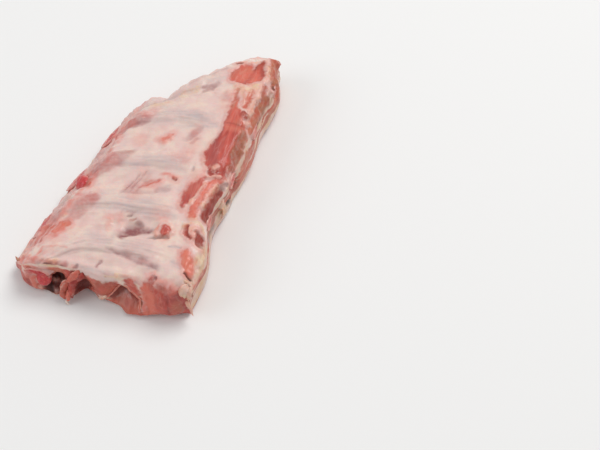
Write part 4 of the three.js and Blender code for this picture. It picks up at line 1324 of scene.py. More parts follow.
def membrane_finish():
    """Thin pale membrane: mottled pink and cream, with grey streaks along the ribs, tinted by
    the shades, and faint veins where a noise passes through its middle."""

    def build(book, inputs):
        place = book.object_place()
        rosy, mauve, grey = book.parts(inputs["Shades"])[:3]
        mottle = book.range(book.noise(place, 110, 4, 0.55), 0.4, 0.66)
        colour = book.mix(book.math("MULTIPLY", mottle, 0.8), inputs["Membrane"], inputs["Cream"])
        streaks = book.noise(book.scaled(inputs["Grain"], (22, 270, 90)), 1, 3, 0.55, 0.4)
        fine = book.noise(book.scaled(inputs["Grain"], (60, 900, 300)), 1, 3, 0.6)
        banding = book.range(streaks, 0.36, 0.64, 0.4, 1.15)
        grey_share = book.math("MULTIPLY", grey, banding, True)
        colour = book.mix(grey_share, colour, inputs["Grey"])
        patchy = book.range(book.noise(place, 230, 3), 0.3, 0.7, 0.6, 1.15)
        colour = book.mix(book.math("MULTIPLY", mauve, patchy, True), colour, inputs["Mauve"])
        colour = book.mix(book.math("MULTIPLY", rosy, patchy, True), colour, inputs["Rosy"])
        veins = book.math("MULTIPLY", book.ridge(book.noise(place, 120, 2, 0.5, 1.0), 0.02), 0.1)
        colour = book.mix(veins, colour, inputs["Rosy"])
        drawn = book.math("ADD", book.math("MULTIPLY", streaks, 0.7), book.math("MULTIPLY", fine, 0.3))
        drawn = book.math("MULTIPLY", drawn, book.range(grey, 0.0, 0.6, 0.3, 1.0))
        height = book.math("ADD", drawn, book.math("MULTIPLY", book.noise(place, 260, 3), 0.4))
        return {"Colour": colour, "Height": height}

    inputs = {name: COLOUR for name in MEMBRANE_COLOURS}
    inputs.update(Shades=VECTOR, Grain=VECTOR)
    return shader_group("Membrane finish", inputs, {"Colour": COLOUR, "Height": FLOAT}, build)


def muscle_finish():
    """Bare lean: fibres drawn out along one direction in darker and lighter bundles, with soft
    seams, tinted by the shades and dulled to tan where they are grey."""

    def build(book, inputs):
        place = book.object_place()
        rosy, mauve, grey = book.parts(inputs["Shades"])[:3]
        along = book.scaled(place, inputs["Fibre Scale"])
        fibres = book.noise(along, 1, 4, 0.6, 0.3)
        bundles = book.noise(along, 0.3, 2, 0.5, 0.4)
        tone = book.math("ADD", book.math("MULTIPLY", fibres, 0.45), book.math("MULTIPLY", bundles, 0.55))
        colour = book.mix(book.range(tone, 0.36, 0.64), inputs["Deep"], inputs["Lean"])
        colour = book.mix(book.math("MULTIPLY", rosy, 0.85), colour, inputs["Salmon"])
        colour = book.mix(book.math("MULTIPLY", mauve, 0.6), colour, inputs["Mauve"])
        dull = book.math("MULTIPLY", grey, book.range(book.noise(place, 150, 3), 0.3, 0.7, 0.35, 0.8))
        colour = book.mix(dull, colour, inputs["Tan"])
        seams = book.ridge(book.noise(along, 0.4, 2, 0.5, 0.5), 0.05)
        colour = book.mix(book.math("MULTIPLY", seams, 0.08), colour, inputs["Cream"])
        return {"Colour": colour, "Height": fibres}

    inputs = {name: COLOUR for name in MUSCLE_COLOURS}
    inputs.update({"Shades": VECTOR, "Fibre Scale": VECTOR})
    return shader_group("Muscle finish", inputs, {"Colour": COLOUR, "Height": FLOAT}, build)


def fat_finish():
    """Cream fat: small lobules from the distances between scattered points, pinker in the
    seams between them, over a mottle, and tan where the shades are grey."""

    def build(book, inputs):
        place = book.object_place()
        rosy, _, grey = book.parts(inputs["Shades"])[:3]
        sway = book.add("ShaderNodeTexNoise", {"Vector": place, "Scale": 300.0}).outputs["Color"]
        sway = book.add("ShaderNodeVectorMath", {0: sway, "Scale": 0.0016}, operation="SCALE").outputs[0]
        bent = book.add("ShaderNodeVectorMath", {0: place, 1: sway}, operation="ADD").outputs[0]
        lobules = book.cells(bent, 620.0)
        mottle = book.range(book.noise(place, 140, 3), 0.38, 0.66)
        colour = book.mix(mottle, inputs["Cream"], inputs["Yellow"])
        colour = book.mix(book.math("MULTIPLY", grey, 0.75), colour, inputs["Tan"])
        pink = book.math("ADD", book.math("MULTIPLY", book.range(lobules, 0.45, 0.8), 0.3), rosy, True)
        colour = book.mix(pink, colour, inputs["Rosy"])
        return {"Colour": colour, "Height": book.math("SUBTRACT", 1.0, lobules)}

    inputs = {name: COLOUR for name in FAT_COLOURS}
    inputs.update(Shades=VECTOR)
    return shader_group("Fat finish", inputs, {"Colour": COLOUR, "Height": FLOAT}, build)


def setting(name, text, default, **more):
    """A number that the panel shows."""
    return bpy.props.FloatProperty(name=name, description=text, default=default, **more)


def paint_pot(name, text, red, green, blue):
    """A colour that the panel shows, given as a screen colour."""
    return bpy.props.FloatVectorProperty(
        name=name,
        description=text,
        default=colour_of(red, green, blue),
        size=3,
        subtype="COLOR",
        min=0,
        max=1,
    )


class RibsFinish(bpy.types.PropertyGroup):
    """Colours and gloss of the raw meat, fat, membrane and bone."""

    membrane: paint_pot("Membrane", "Pale pink skin over the ribs", 229, 197, 190)
    cream: paint_pot("Cream", "Fat, and where it shows through the membrane", 235, 211, 197)
    grey: paint_pot("Rib grey", "Membrane stretched over bone", 203, 185, 183)
    mauve: paint_pot("Mauve", "Lean or marrow seen through the membrane", 158, 100, 102)
    rosy: paint_pot("Rosy", "Blood-stained membrane", 222, 126, 114)
    lean: paint_pot("Lean", "Bare red muscle", 206, 85, 72)
    deep: paint_pot("Deep lean", "Darker bundles of the muscle", 170, 62, 56)
    salmon: paint_pot("Salmon", "Paler, orange lean", 231, 129, 110)
    tan: paint_pot("Tan", "Dulled lean and fat at the cut edges", 190, 132, 98)
    yellow: paint_pot("Fat yellow", "Older fat at the loin edge", 233, 205, 172)
    # blood-dark colour of stained lean, also laid as painted shade in hollows, pits and creases
    shadow: paint_pot("Hollow", "Blood-dark hollows", 64, 13, 7)
    marrow: paint_pot("Marrow", "Red inside of a sawn bone", 203, 66, 70)
    rim: paint_pot("Bone rim", "Pale wall round the marrow", 220, 152, 142)
    gloss: setting("Wetness", "Weight of the wet coat", 0.22, min=0, max=1, subtype="FACTOR")


class RibsStage(bpy.types.PropertyGroup):
    """The camera, the floor and the lights."""

    azimuth: setting(
        "Azimuth",
        "Camera's turn round the rack, from looking along +Y",
        math.radians(14.28),
        subtype="ANGLE",
    )
    elevation: setting("Elevation", "Camera's height above the horizon", math.radians(55.1), subtype="ANGLE")
    distance: setting("Distance", "From the camera to the point it looks at", 0.6838, unit="LENGTH")
    lens: setting("Lens", "Focal length in millimetres", 70.0, min=10, max=200)
    floor: paint_pot("Floor", "Pale floor", 240, 240, 240)
    key_power: setting("Key light", "Power of the large light behind the rack", 31.0, min=0, unit="POWER")
    fill_power: setting("Fill light", "Power of the light on the left", 8.5, min=0, unit="POWER")
    sky: setting("Sky", "Strength of the even light from all round", 0.495, min=0)


# The plan's point that the camera looks at.
AIM = (98.2, 67.2, 22)


def new_material(name):
    """A material with its node book and its main shader."""
    material = bpy.data.materials.new(name)
    material.use_nodes = True
    tree = material.node_tree
    return material, NodeBook(tree), tree.nodes["Principled BSDF"]


def colour_inputs(finish, names, shades):
    """An effect's inputs: the finish's colours of those names, and the shades."""
    return {**{name: getattr(finish, name.lower()) for name in names}, "Shades": shades}


def meat_material(finish):
    """Membrane, fat and lean in ragged patches, darkened by the dark field towards blood-dark colour, which
    is painted shade in the hollows.
    """
    name = "Raw meat"
    if name in bpy.data.materials:
        return bpy.data.materials[name]
    material, book, shader = new_material(name)
    lean, fat, dark = book.parts(book.attribute("fields"))[:3]
    shades = book.attribute("shades")
    membrane = membrane_outputs(book, finish, shades)
    muscle_inputs = colour_inputs(finish, MUSCLE_COLOURS, shades)
    muscle = book.group(muscle_finish(), {**muscle_inputs, "Fibre Scale": (520.0, 70.0, 400.0)})
    greasy = book.group(fat_finish(), colour_inputs(finish, FAT_COLOURS, shades))
    lean_mask = book.group(ragged_patch(), {"Field": lean, "Wander": 3.2, "Softness": 1.2})["Mask"]
    fat_mask = book.group(ragged_patch(), {"Field": fat, "Wander": 3.2, "Softness": 1.5})["Mask"]
    colour = book.mix(fat_mask, membrane["Colour"], greasy["Colour"])
    colour = book.mix(lean_mask, colour, muscle["Colour"])
    # the dark field: blood-dark colour, and painted shade in hollows, pits and creases
    colour = book.mix(book.math("MULTIPLY", dark, 0.95), colour, finish.shadow)
    height = book.blend_values(fat_mask, membrane["Height"], greasy["Height"])
    height = book.blend_values(lean_mask, height, muscle["Height"])
    bump = book.add("ShaderNodeBump", {"Height": height, "Strength": 0.55, "Distance": 0.0006})
    book.feed(shader.inputs["Base Color"], colour)
    book.feed(shader.inputs["Roughness"], book.blend_values(lean_mask, 0.42, 0.36))
    book.feed(shader.inputs["Coat Weight"], book.blend_values(fat_mask, finish.gloss, finish.gloss * 0.5))
    book.feed(shader.inputs["Normal"], bump.outputs[0])
    soften(shader)
    return material


def membrane_outputs(book, finish, shades):
    """The membrane's colour and height, along the grain that the piece carries."""
    inputs = colour_inputs(finish, MEMBRANE_COLOURS, shades)
    inputs["Grain"] = book.attribute("grain")
    return book.group(membrane_finish(), inputs)


def soften(shader):
    """Light that goes a little way into flesh, and a smooth wet coat."""
    shader.inputs["Subsurface Weight"].default_value = 0.18
    shader.inputs["Subsurface Radius"].default_value = (1.0, 0.4, 0.28)
    shader.inputs["Subsurface Scale"].default_value = 0.003
    shader.inputs["Coat Roughness"].default_value = 0.14
    shader.inputs["Specular IOR Level"].default_value = 0.3


def bone_material(finish):
    """Red marrow inside a pale rim, with the membrane's colours along the outside."""
    material, book, shader = new_material("Sawn bone")
    reach, cut, _ = book.parts(book.attribute("fields"))[:3]
    membrane = membrane_outputs(book, finish, book.attribute("shades"))
    place = book.object_place()
    cells = book.cells(place, 900.0)
    marrow = book.mix(book.range(cells, 0.25, 0.75, 0, 0.5), finish.marrow, finish.deep)
    marrow = book.mix(book.range(book.noise(place, 500, 3), 0.5, 0.75, 0, 0.5), marrow, finish.salmon)
    wander = book.math("MULTIPLY", book.math("SUBTRACT", book.noise(place, 240, 3), 0.5), 1.1)
    inner = book.range(book.math("ADD", reach, wander), 0.5, 0.92)
    colour = book.mix(cut, membrane["Colour"], book.mix(inner, marrow, finish.rim))
    height = book.blend_values(cut, membrane["Height"], cells)
    bump = book.add("ShaderNodeBump", {"Height": height, "Strength": 0.5, "Distance": 0.0005})
    book.feed(shader.inputs["Base Color"], colour)
    book.feed(shader.inputs["Roughness"], book.blend_values(cut, 0.36, 0.3))
    shader.inputs["Coat Weight"].default_value = finish.gloss
    book.feed(shader.inputs["Normal"], bump.outputs[0])
    soften(shader)
    return material


NEWTON_STEPS = 30
SLOPE_STEP = 1e-4


def plan_place(x, y):
    """The u and v of points seen from above, by Newton's steps towards them."""
    u, v = np.full(len(x), 0.5), np.full(len(x), 0.5)
    for _ in range(NEWTON_STEPS):
        px, py = plan(u, v)
        qx, qy = plan(u + SLOPE_STEP, v)
        rx, ry = plan(u, v + SLOPE_STEP)
        pairs = ((qx, px), (qy, py), (rx, px), (ry, py))
        ux, uy, vx, vy = ((a - b) / SLOPE_STEP for a, b in pairs)
        det = ux * vy - uy * vx
        step_u = ((x - px) * vy - (y - py) * vx) / det
        step_v = (ux * (y - py) - uy * (x - px)) / det
        u, v = np.clip(u + step_u, 0, 1), np.clip(v + step_v, 0, 1)
    return u, v


BONE_SIDES = 48
CAP_RINGS = 9
# A sawn end's dish, and the raised rim round it, at a share of the bone's oval.
DISH_DEPTH = 0.7
DISH_RIM = 0.3
DISH_RIM_AT = 0.92
DISH_RIM_HALF = 0.07
CUT_ROUGHNESS = 0.3
BONE_ROUGHNESS = 0.25
# How far along x a bone is tinted from its left end, and from its right end.
LEFT_TINT = 25
RIGHT_TINT = 12


def bone_path(index):
    """A bone's middle line: under the skin of its ridge, and lower at both ends by bells."""
    line = RIB_LINES[index]
    x, y = line.T
    u, v = plan_place(x, y)
    length = np.linalg.norm(np.diff(line, axis=0), axis=1).sum()
    along = np.linspace(0, length, len(line))
    sink = LEFT_SINK * bell(along, SINK_REACH) + RIGHT_SINK * bell(length - along, SINK_REACH)
    z = crown(u, v) + ridges(x, y) - RIB_COVER - RIB_HALF_THICKNESS - sink
    return np.column_stack([x, y, z]), along


def ring_faces(rows, sides):
    """Quads between rings of points, and fans that close both ends with two last points."""
    number = np.arange(rows * sides).reshape(rows, sides)
    turned = np.roll(number, -1, axis=1)
    quads = np.stack([number[:-1], turned[:-1], turned[1:], number[1:]], axis=-1).reshape(-1, 4)
    first = np.full(sides, rows * sides)
    fans = [[first, turned[0], number[0]], [first + 1, number[-1], turned[-1]]]
    return quads, np.concatenate([np.column_stack(fan) for fan in fans])


def bone_surface(index):
    """An oval carried along the path. Its left end is cut on a slant: a point slides along the
    bone by its height and side times the slant, less and less further in. Each end is closed
    by rings that shrink to the middle, dished inside a raised rim."""
    path, along = bone_path(index)
    ahead, side, over = bone_frame(path)
    angle = 2 * np.pi * np.arange(BONE_SIDES) / BONE_SIDES
    up_slant, side_slant = SLANTS[index]

    def ring(k, share, push):
        """Points on the oval at a share of its size, pushed along the bone."""
        across = share * RIB_HALF_WIDTH * np.cos(angle)
        height = share * RIB_HALF_THICKNESS * np.sin(angle)
        fade = max(0.0, 1 - along[k] / SLANT_REACH)
        slide = fade * (up_slant * height + side_slant * across) + push
        return path[k] + side[k] * across[:, None] + over[k] * height[:, None] + ahead[k] * slide[:, None]

    last = len(path) - 1
    shares = np.linspace(0, 1, CAP_RINGS + 1)[1:]
    dish = DISH_DEPTH * (1 - smooth((shares - 0.6) / 0.35))
    dish = dish - DISH_RIM * bell(shares - DISH_RIM_AT, DISH_RIM_HALF)
    near_cap = [(ring(0, share, depth), share, 1) for share, depth in zip(shares, dish)]
    shaft = [(ring(k, 1, 0), 1, 0) for k in range(1, last)]
    far_cap = [(ring(last, share, -depth), share, 1) for share, depth in zip(shares, dish)][::-1]
    rows, reach, cut = zip(*near_cap, *shaft, *far_cap)
    faces = ring_faces(len(rows), BONE_SIDES)
    points = np.concatenate([*rows, [rows[0].mean(axis=0), rows[-1].mean(axis=0)]])
    reach = np.append(np.repeat(reach, BONE_SIDES), [0, 0])
    cut = np.append(np.repeat(cut, BONE_SIDES), [1, 1])
    normals = vertex_normals(points, faces)
    rough = cut * CUT_ROUGHNESS * fractal_noise(points / 1.3, 2, 5)
    rough = rough + (1 - cut) * BONE_ROUGHNESS * fractal_noise(points / 4, 2, 6)
    points = points + normals * (rough * smooth((1.02 - reach * cut) * 8))[:, None]
    left_share = np.clip(1 - (points[:, 0] - path[0, 0]) / LEFT_TINT, 0, 1)
    right_share = np.clip(1 - (path[-1, 0] - points[:, 0]) / RIGHT_TINT, 0, 1)
    rosy = 0.35 * left_share + 0.4 * right_share
    attributes = {
        "fields": np.stack([reach, cut, np.zeros(len(reach))], axis=1),
        "shades": np.stack([rosy, 0.45 * left_share, np.zeros(len(reach))], axis=1),
        "grain": points * MM,
    }
    return points, faces, attributes


# Strands of meat or fat that stand clear of the slab: a path, half widths, how thick they are
# for their width, turns in degrees, how blunt the ends are, where along half the width the
# cream edge begins, and paint.
Strand = namedtuple(
    "Strand",
    "path halves thick turn blunt edge rosy mauve grey dark",
    defaults=(0.6, (0, 0), 5, 0.8, 0, 0, 0, 0),
)
STRAND_STEPS = 44
STRAND_SIDES = 20
# How far the last point of each end lies past the last ring.
STRAND_TIP = 0.05
# The field of a strand's fat, and how much that of its lean falls from the middle to the side.
STRAND_FIELD = 3


def strand_surface(strand, face_way):
    """An oval carried along a smooth path, turning as it goes. It closes at both ends as one
    less the distance from the middle to a power does, and is roughened by noise."""
    path = curve_through(strand.path, STRAND_STEPS)[1:-1]
    share = np.linspace(0, 1, STRAND_STEPS + 1)[1:-1]
    half = np.interp(share, np.linspace(0, 1, len(strand.halves)), strand.halves)
    half = half * (1 - np.abs(2 * share - 1) ** strand.blunt) ** (1 / strand.blunt)
    turn = np.radians(np.interp(share, np.linspace(0, 1, len(strand.turn)), strand.turn))
    ahead = np.gradient(path, axis=0)
    ahead /= np.linalg.norm(ahead, axis=1, keepdims=True)
    side = np.cross(face_way, ahead)
    side /= np.linalg.norm(side, axis=1, keepdims=True)
    over = np.cross(ahead, side)
    cos, sin = np.cos(turn)[:, None], np.sin(turn)[:, None]
    side, over = side * cos + over * sin, over * cos - side * sin
    angle = 2 * np.pi * np.arange(STRAND_SIDES) / STRAND_SIDES
    across = half[:, None] * np.cos(angle)
    height = half[:, None] * strand.thick * np.sin(angle)
    rings = path[:, None] + side[:, None] * across[..., None] + over[:, None] * height[..., None]
    faces = ring_faces(len(path), STRAND_SIDES)
    ends = [path[0] - ahead[0] * STRAND_TIP, path[-1] + ahead[-1] * STRAND_TIP]
    points = np.concatenate([rings.reshape(-1, 3), ends])
    normals = vertex_normals(points, faces)
    size = min(strand.halves[len(strand.halves) // 2], 2)
    rough = 0.2 * value_noise(points / 3.6, 8) + 0.14 * fractal_noise(points / 1.8, 2, 7)
    points = points + normals * (size * rough)[:, None]
    wide = np.append(np.tile(np.abs(np.cos(angle)), len(path)), [1, 1])
    one = np.ones(len(points))
    lean = STRAND_FIELD * (strand.edge - wide)
    fields = np.stack([lean, STRAND_FIELD * one, strand.dark * one], axis=1)
    shades = np.stack([strand.rosy * one, strand.mauve * one, strand.grey * one], axis=1)
    return points, faces, {"fields": fields, "shades": shades, "grain": points * MM}


# The least height of a strand's points over the floor.
OFF_FLOOR = 0.1


def strands_piece(name, strands, face_way, material):
    """Several strands as one piece."""
    made = [strand_surface(strand, face_way) for strand in strands]
    starts = np.cumsum([0] + [len(points) for points, _, _ in made])
    quads, fans = (
        np.concatenate([faces[kind] + start for (_, faces, _), start in zip(made, starts)])
        for kind in (0, 1)
    )
    points = np.concatenate([points for points, _, _ in made])
    points[:, 2] = np.maximum(points[:, 2], OFF_FLOOR)
    attributes = {key: np.concatenate([layers[key] for _, _, layers in made]) for key in made[0][2]}
    piece = make_piece(name, points, (quads, fans), attributes, material)
    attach(piece, "root")


FRONT_WAY = (0, -1, 0)
RIGHT_WAY = (1, 0, 0)

FLAP = (
    # salmon top over a red knot
    Strand(
        ((-15.6, 5.6, 23.6), (-17.4, 3.4, 21), (-20.4, 1.8, 17.4), (-23.6, 0.6, 14)),
        (1.6, 2.4, 2.2, 1.4), 0.6, (0, 20, 30), 3, 1.1, 0.5, 0, 0.1,
    ),
    Strand(
        ((-13.4, 5, 22.4), (-14.6, 3.2, 20), (-17, 1.8, 16.4)),
        (1, 1.7, 1.2), 0.8, (0, 20), 3, 1.2, 0, 0, 0, 0.25,
    ),
    # pale fold on its left
    Strand(
        ((-22.8, 1.6, 15.4), (-25.6, 0.4, 12.6), (-26.8, -0.8, 9), (-26.4, -1.8, 6)),
        (0.8, 1.3, 1.2, 0.7), 0.7, (30, 40, 20), 3, 0.5, 0.45, 0, 0.1,
    ),
    # crimson middle, the brown-pink folds under it, and the orange one at the front, paler as a painted
    # highlight
    Strand(
        ((-16.6, 3.6, 18.6), (-19.6, 1, 14.4), (-20.8, -1.2, 8.6), (-20.2, -3.2, 3.4)),
        (1.4, 2.5, 2.6, 1.5), 0.7, (0, 20, 40, 20), 3, 1.2, 0, 0, 0, 0.16,
    ),
    Strand(
        ((-21.6, 1.2, 15), (-24.4, -0.8, 10.4), (-25.6, -2.4, 6), (-24.6, -4, 2)),
        (1.4, 2.6, 2.4, 1.3), 0.6, (-10, -30, -40, -10), 3, 1.1, 0.2, 0, 0.25, 0.06,
    ),
    Strand(
        ((-21, -0.8, 10.6), (-22.2, -2.6, 7), (-22.4, -4.2, 3.6), (-22.8, -5, 1.8)),
        (0.8, 1.7, 1.7, 0.9), 0.6, (0, 10, 30), 3, 1.1, 0.75, 0, 0.1,
    ),
    Strand(((-23.4, -4.6, 3), (-22.8, -5.4, 2), (-21.4, -6, 0.9)), (0.7, 0.9, 0.4), 0.6, (0, 0), 3, -0.2),
    # a dark strand sunk in the black hollow, darkened to match its painted shade
    Strand(
        ((-29, 3.4, 6), (-28, 1.6, 3.4), (-27.4, 0.4, 1.2)),
        (0.9, 1.4, 0.7), 0.8, (0, 0), 3, 0.9, 0, 0, 0.9, 0.7,
    ),
)

# The free lower edges of the sheets on the front, and a cream fold at the end of one, as
# (x, z) on the slab's face, with half widths, where the cream begins and how rosy it is.
Lip = namedtuple("Lip", "path halves edge rosy")
LIPS = (
    Lip(
        ((-12.5, 5), (-8.5, 2.4), (-4, 4), (0.6, 7), (5, 12), (9.6, 17)),
        (0.35, 0.9, 0.6, 0.85, 0.5, 0.7, 0.35), 0.5, 0.6,
    ),
    Lip(
        ((9.8, 17), (14, 16.2), (18, 13.6), (20.6, 10), (21, 4.5)),
        (0.35, 0.8, 0.6, 0.85, 0.6, 1, 0.5), 0.5, 0.6,
    ),
    Lip(((0, 8.6), (-2.6, 5.6), (-4.6, 3), (-5.6, 1.2)), (0.5, 1.4, 1.7, 0.8), 0, 0.2),
    Lip(((-11.4, 6), (-9.8, 3.4), (-8, 1.4)), (0.6, 1.1, 0.7), 0.9, 0.8),
)

SHREDS = (
    # cream knob under a bead, the tan strand beside them with a brown crumb, and a thin wavy strip
    Strand(
        ((48.2, 9.6, 27), (46.8, 6.8, 25), (45.6, 5.2, 21.6), (44.8, 4.8, 18.4)),
        (1.4, 2.9, 2.9, 1.2), 0.5, (0, 15, -10), 3, -0.5, 0.32,
    ),
    Strand(
        ((47.6, 6.4, 24.8), (46.8, 4.4, 22), (47.4, 3.8, 19.4)),
        (1.2, 1.7, 1.1), 0.6, (0, 40), 3, -0.5, 0.15, 0, 0.3,
    ),
    Strand(
        ((44.6, 10.6, 27), (47.8, 9.6, 26.6), (50.2, 8.6, 25)),
        (0.8, 1.7, 1), 0.5, (0, 0), 2.6, -0.5, 0.2, 0, 0.25,
    ),
    Strand(
        ((49.6, 7.8, 25.4), (49.4, 5.2, 22), (48.8, 3.8, 18.2)),
        (1.3, 1.9, 1.4), 0.75, (0, 20), 2.6, -0.5, 0.1, 0, 0.6,
    ),
    Strand(
        ((50.6, 6.2, 23), (51, 5.4, 21.6), (50.8, 5, 20.4)),
        (0.6, 0.8, 0.6), 0.9, (0, 0), 2, -0.5, 0, 0, 1, 0.45,
    ),
    Strand(
        ((48.4, 3.8, 17.6), (49.2, 2.8, 14.4), (50.6, 2.4, 11.4), (51.2, 1.6, 8.6), (52.2, 1.2, 6.2)),
        (1.1, 1.3, 0.9, 1.1, 0.5), 0.6, (0, 40), 4, -0.5, 0.2, 0, 0.5,
    ),
    Strand(
        ((-58, 10.8, 8), (-59.2, 11.4, 9.6), (-60, 12, 11)),
        (1.2, 0.9, 0.4), 0.8, (0, 0), 4, 0.4, 0, 0, 0.8, 0.15,
    ),
)

EDGE_BEADS = (
    Strand(
        ((47.2, 76, 23), (48.6, 74, 20.6), (48.6, 72, 18), (48, 71, 16)),
        (1, 2, 1.8, 0.9), 0.45, (0, 20), 3, -0.5, 0.25, 0, 0.35,
    ),
    Strand(
        ((47.6, 75, 14.6), (48.8, 73, 12), (48.9, 70.6, 9.4), (48.4, 69.6, 8)),
        (0.9, 2.1, 1.8, 0.9), 0.45, (0, -20), 3, -0.5, 0.2, 0, 0.55,
    ),
    Strand(
        ((49.4, 86, 20), (50.2, 87.4, 17), (49.8, 88.6, 13)),
        (0.7, 0.8, 0.5), 0.8, (0, 0), 4, -0.5, 0, 0, 0.9, 0.1,
    ),
    Strand(
        ((50.4, 93, 17), (51.2, 94, 14.6), (51, 94.6, 12)),
        (0.8, 0.9, 0.6), 0.8, (0, 0), 4, 0.9, 0, 0, 0.9, 0.3,
    ),
)


# Points this near a place on the front count as there, or those hardly further than the
# nearest one where none is; points that lie far back are taken as far away.
NEAR_PLACE = 1.1
NEAREST_SPARE = 0.3
FAR_AWAY = 100
# A lip's path has this many steps and lies this far inside the front.
LIP_STEPS = 12
LIP_SINK = 0.15


def on_front(points, x, z):
    """The slab's front at a place: the least y of its points near there."""
    gap = np.hypot(points[:, 0] - x, points[:, 2] - z) + FAR_AWAY * (points[:, 1] > FRONT_REACH)
    near = gap < max(NEAR_PLACE, gap.min() + NEAREST_SPARE)
    return points[near, 1].min()


def lip_strands():
    """The lips as strands that lie on the slab's front."""
    points = slab_points()
    for lip in LIPS:
        places = curve_through(lip.path, LIP_STEPS)
        path = tuple((x, on_front(points, x, z) + LIP_SINK, z) for x, z in places)
        yield Strand(path, lip.halves, 0.6, (0, 0), 4, lip.edge, lip.rosy, 0, 0.1)


# Lumps of red marrow and gristle that stand out of a sawn rib end: middle, which way they
# face, half sizes across, upwards and outwards.
Lump = namedtuple("Lump", "middle facing halves")
LUMPS = (
    Lump((-37.8, 2, 11.8), (-0.3, -0.8, 0.55), (4.8, 5.4, 3.4)),
    Lump((-36.6, 66.4, 19), (-0.5, -0.3, 0.8), (6.4, 4.9, 3.5)),
)
LUMP_REACH = 0.7
LUMP_TURNS = 40
LUMP_RINGS = 24
LUMP_ROUGHNESS = 0.32
LUMP_ROSY = 0.5


def lump_surface(lump):
    """A ball of rings round the way it faces, each ring's radius the sine of its angle from
    there, stretched by the half sizes and roughened by noise."""
    ahead = np.array(lump.facing) / np.linalg.norm(lump.facing)
    side = np.cross((0, 0, 1), ahead)
    side /= np.linalg.norm(side)
    over = np.cross(ahead, side)
    polar = np.linspace(0, np.pi, LUMP_RINGS + 2)[1:-1, None]
    angle = 2 * np.pi * np.arange(LUMP_TURNS) / LUMP_TURNS
    a, b, c = lump.halves
    out = c * np.cos(polar) + 0 * angle
    across, height = a * np.sin(polar) * np.cos(angle), b * np.sin(polar) * np.sin(angle)
    rings = sum(part[..., None] * way for part, way in ((across, side), (height, over), (out, ahead)))
    points = np.concatenate([rings.reshape(-1, 3), [ahead * c, -ahead * c]]) + lump.middle
    faces = tuple(block[:, ::-1] for block in ring_faces(LUMP_RINGS, LUMP_TURNS))
    rough = LUMP_ROUGHNESS * fractal_noise(points / 2.6, 3, 17)
    points = points + vertex_normals(points, faces) * rough[:, None]
    ring_reach = np.where(polar < np.pi / 2, np.sin(polar), 1).ravel()
    reach = np.append(np.repeat(ring_reach, LUMP_TURNS), [0, 1])
    one = np.ones(len(points))
    attributes = {
        "fields": np.stack([LUMP_REACH * reach, one, 0 * one], axis=1),
        "shades": np.stack([LUMP_ROSY * one, 0 * one, 0 * one], axis=1),
        "grain": points * MM,
    }
    return points, faces, attributes


class RIBS_OT_slab(bpy.types.Operator):
    """Make the slab of lean, fat and membrane"""

    bl_idname = "ribs.slab"
    bl_label = "Meat slab"

    def execute(self, context):
        points, faces, attributes = dressed_slab()
        piece = make_piece("meat_slab", points, faces, attributes, meat_material(context.scene.ribs_finish))
        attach(piece, "root")
        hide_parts("meat")
        return {"FINISHED"}


class RIBS_OT_bones(bpy.types.Operator):
    """Make the five rib bones with their sawn ends"""

    bl_idname = "ribs.bones"
    bl_label = "Rib bones"

    def execute(self, context):
        material = bone_material(context.scene.ribs_finish)
        for index in range(len(RIBS)):
            points, faces, attributes = bone_surface(index)
            node = "rib_bone_" + str(index + 1)
            piece = make_piece("sawn_" + node, points, faces, attributes, material)
            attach(piece, "root")
            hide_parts(node)
        for number, lump in enumerate(LUMPS):
            piece = make_piece("marrow_lump_" + str(number + 1), *lump_surface(lump), material)
            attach(piece, "root")
        return {"FINISHED"}


class RIBS_OT_shreds(bpy.types.Operator):
    """Make the hanging flap, the lips of the front sheets and the shreds of fat"""

    bl_idname = "ribs.shreds"
    bl_label = "Flap, lips and shreds"

    def execute(self, context):
        material = meat_material(context.scene.ribs_finish)
        strands_piece("hanging_flap", FLAP, FRONT_WAY, material)
        strands_piece("sheet_lips", tuple(lip_strands()), FRONT_WAY, material)
        strands_piece("fat_shreds", SHREDS, FRONT_WAY, material)
        strands_piece("edge_beads", EDGE_BEADS, RIGHT_WAY, material)
        return {"FINISHED"}


# The stage, in metres in the frame.
FLOOR_HALF = 3.0
LIGHT_SIZE = 1.4
KEY_PLACE = (0.8, 1.1, 2.0)
KEY_COLOUR = (1, 0.985, 0.96)
FILL_PLACE = (-1.5, -0.8, 1.3)
FILL_COLOUR = (0.97, 0.985, 1)


def area_light(name, place, power, colour):
    """A round light that faces the frame's origin."""
    data = bpy.data.lights.new(name, "AREA")
    data.shape = "DISK"
    data.size = LIGHT_SIZE
    data.energy = power
    data.color = colour
    light = bpy.data.objects.new(name, data)
    light.location = place
    light.rotation_euler = (Vector() - Vector(place)).to_track_quat("-Z", "Y").to_euler()
    bpy.context.scene.collection.objects.link(light)


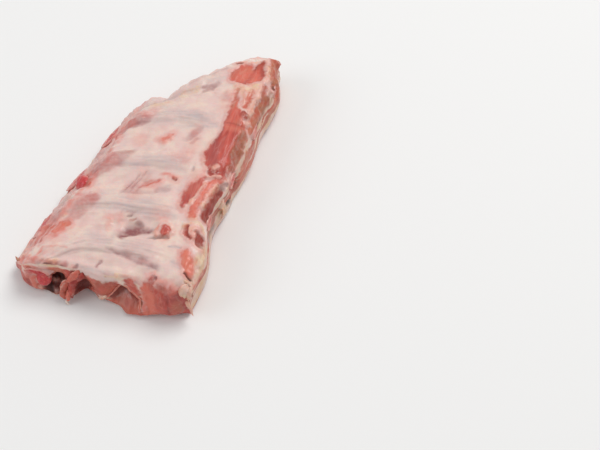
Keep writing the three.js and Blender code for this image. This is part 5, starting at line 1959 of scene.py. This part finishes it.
class RIBS_OT_stage(bpy.types.Operator):
    """Make the floor, the lights and the camera"""

    bl_idname = "ribs.stage"
    bl_label = "Stage"

    def execute(self, context):
        stage = context.scene.ribs_stage
        scene = context.scene
        scene.view_settings.view_transform = "Standard"
        half = FLOOR_HALF
        corners = [(-half, -half, 0), (half, -half, 0), (half, half, 0), (-half, half, 0)]
        mesh = bpy.data.meshes.new("floor")
        mesh.from_pydata(corners, [], [(0, 1, 2, 3)])
        ground, _, shader = new_material("Pale floor")
        shader.inputs["Base Color"].default_value = (*stage.floor, 1)
        shader.inputs["Roughness"].default_value = 0.9
        shader.inputs["Specular IOR Level"].default_value = 0.1
        mesh.materials.append(ground)
        floor = bpy.data.objects.new("floor", mesh)
        scene.collection.objects.link(floor)
        floor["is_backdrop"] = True

        world = bpy.data.worlds.new("Studio")
        world.use_nodes = True
        background = world.node_tree.nodes["Background"]
        background.inputs["Color"].default_value = (1, 1, 1, 1)
        background.inputs["Strength"].default_value = stage.sky
        scene.world = world
        area_light("key", KEY_PLACE, stage.key_power, KEY_COLOUR)
        area_light("fill", FILL_PLACE, stage.fill_power, FILL_COLOUR)

        aim = (Vector(AIM) - Vector((*PLAN_MIDDLE, 0))) * MM
        a, e = stage.azimuth, stage.elevation
        away = Vector((-math.sin(a), math.cos(a), 0))
        forward = away * math.cos(e) - Vector((0, 0, 1)) * math.sin(e)
        right = Vector((math.cos(a), math.sin(a), 0))
        upward = right.cross(forward)
        camera_data = bpy.data.cameras.new("camera")
        camera_data.lens = stage.lens
        camera_data.sensor_width = 36
        camera = bpy.data.objects.new("camera", camera_data)
        turn = Matrix((right, upward, -forward)).transposed().to_4x4()
        camera.matrix_world = Matrix.Translation(aim - forward * stage.distance) @ turn
        scene.collection.objects.link(camera)
        scene.camera = camera
        return {"FINISHED"}


class RIBS_PT_panel(bpy.types.Panel):
    """Lists the rack's pieces, colours and stage"""

    bl_idname = "RIBS_PT_panel"
    bl_label = "Pork ribs"
    bl_space_type = "VIEW_3D"
    bl_region_type = "UI"
    bl_category = "Pork ribs"

    def draw(self, context):
        for operator in OPERATORS:
            self.layout.operator(operator.bl_idname)
        for group in (context.scene.ribs_finish, context.scene.ribs_stage):
            column = self.layout.column()
            for name in type(group).__annotations__:
                column.prop(group, name)


OPERATORS = (RIBS_OT_slab, RIBS_OT_bones, RIBS_OT_shreds, RIBS_OT_stage)
CLASSES = (RibsFinish, RibsStage, *OPERATORS, RIBS_PT_panel)


def register():
    for item in CLASSES:
        bpy.utils.register_class(item)
    bpy.types.Scene.ribs_finish = bpy.props.PointerProperty(type=RibsFinish)
    bpy.types.Scene.ribs_stage = bpy.props.PointerProperty(type=RibsStage)


def unregister():
    del bpy.types.Scene.ribs_stage
    del bpy.types.Scene.ribs_finish
    for item in reversed(CLASSES):
        bpy.utils.unregister_class(item)


def main():
    register()
    bpy.ops.ribs.slab()
    bpy.ops.ribs.bones()
    bpy.ops.ribs.shreds()
    bpy.ops.ribs.stage()
    boxes = {"cad": CAD_BOX, "visual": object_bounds()}
    plain = {name: [list(corner) for corner in box] for name, box in boxes.items()}


if __name__ == "__main__":
    main()
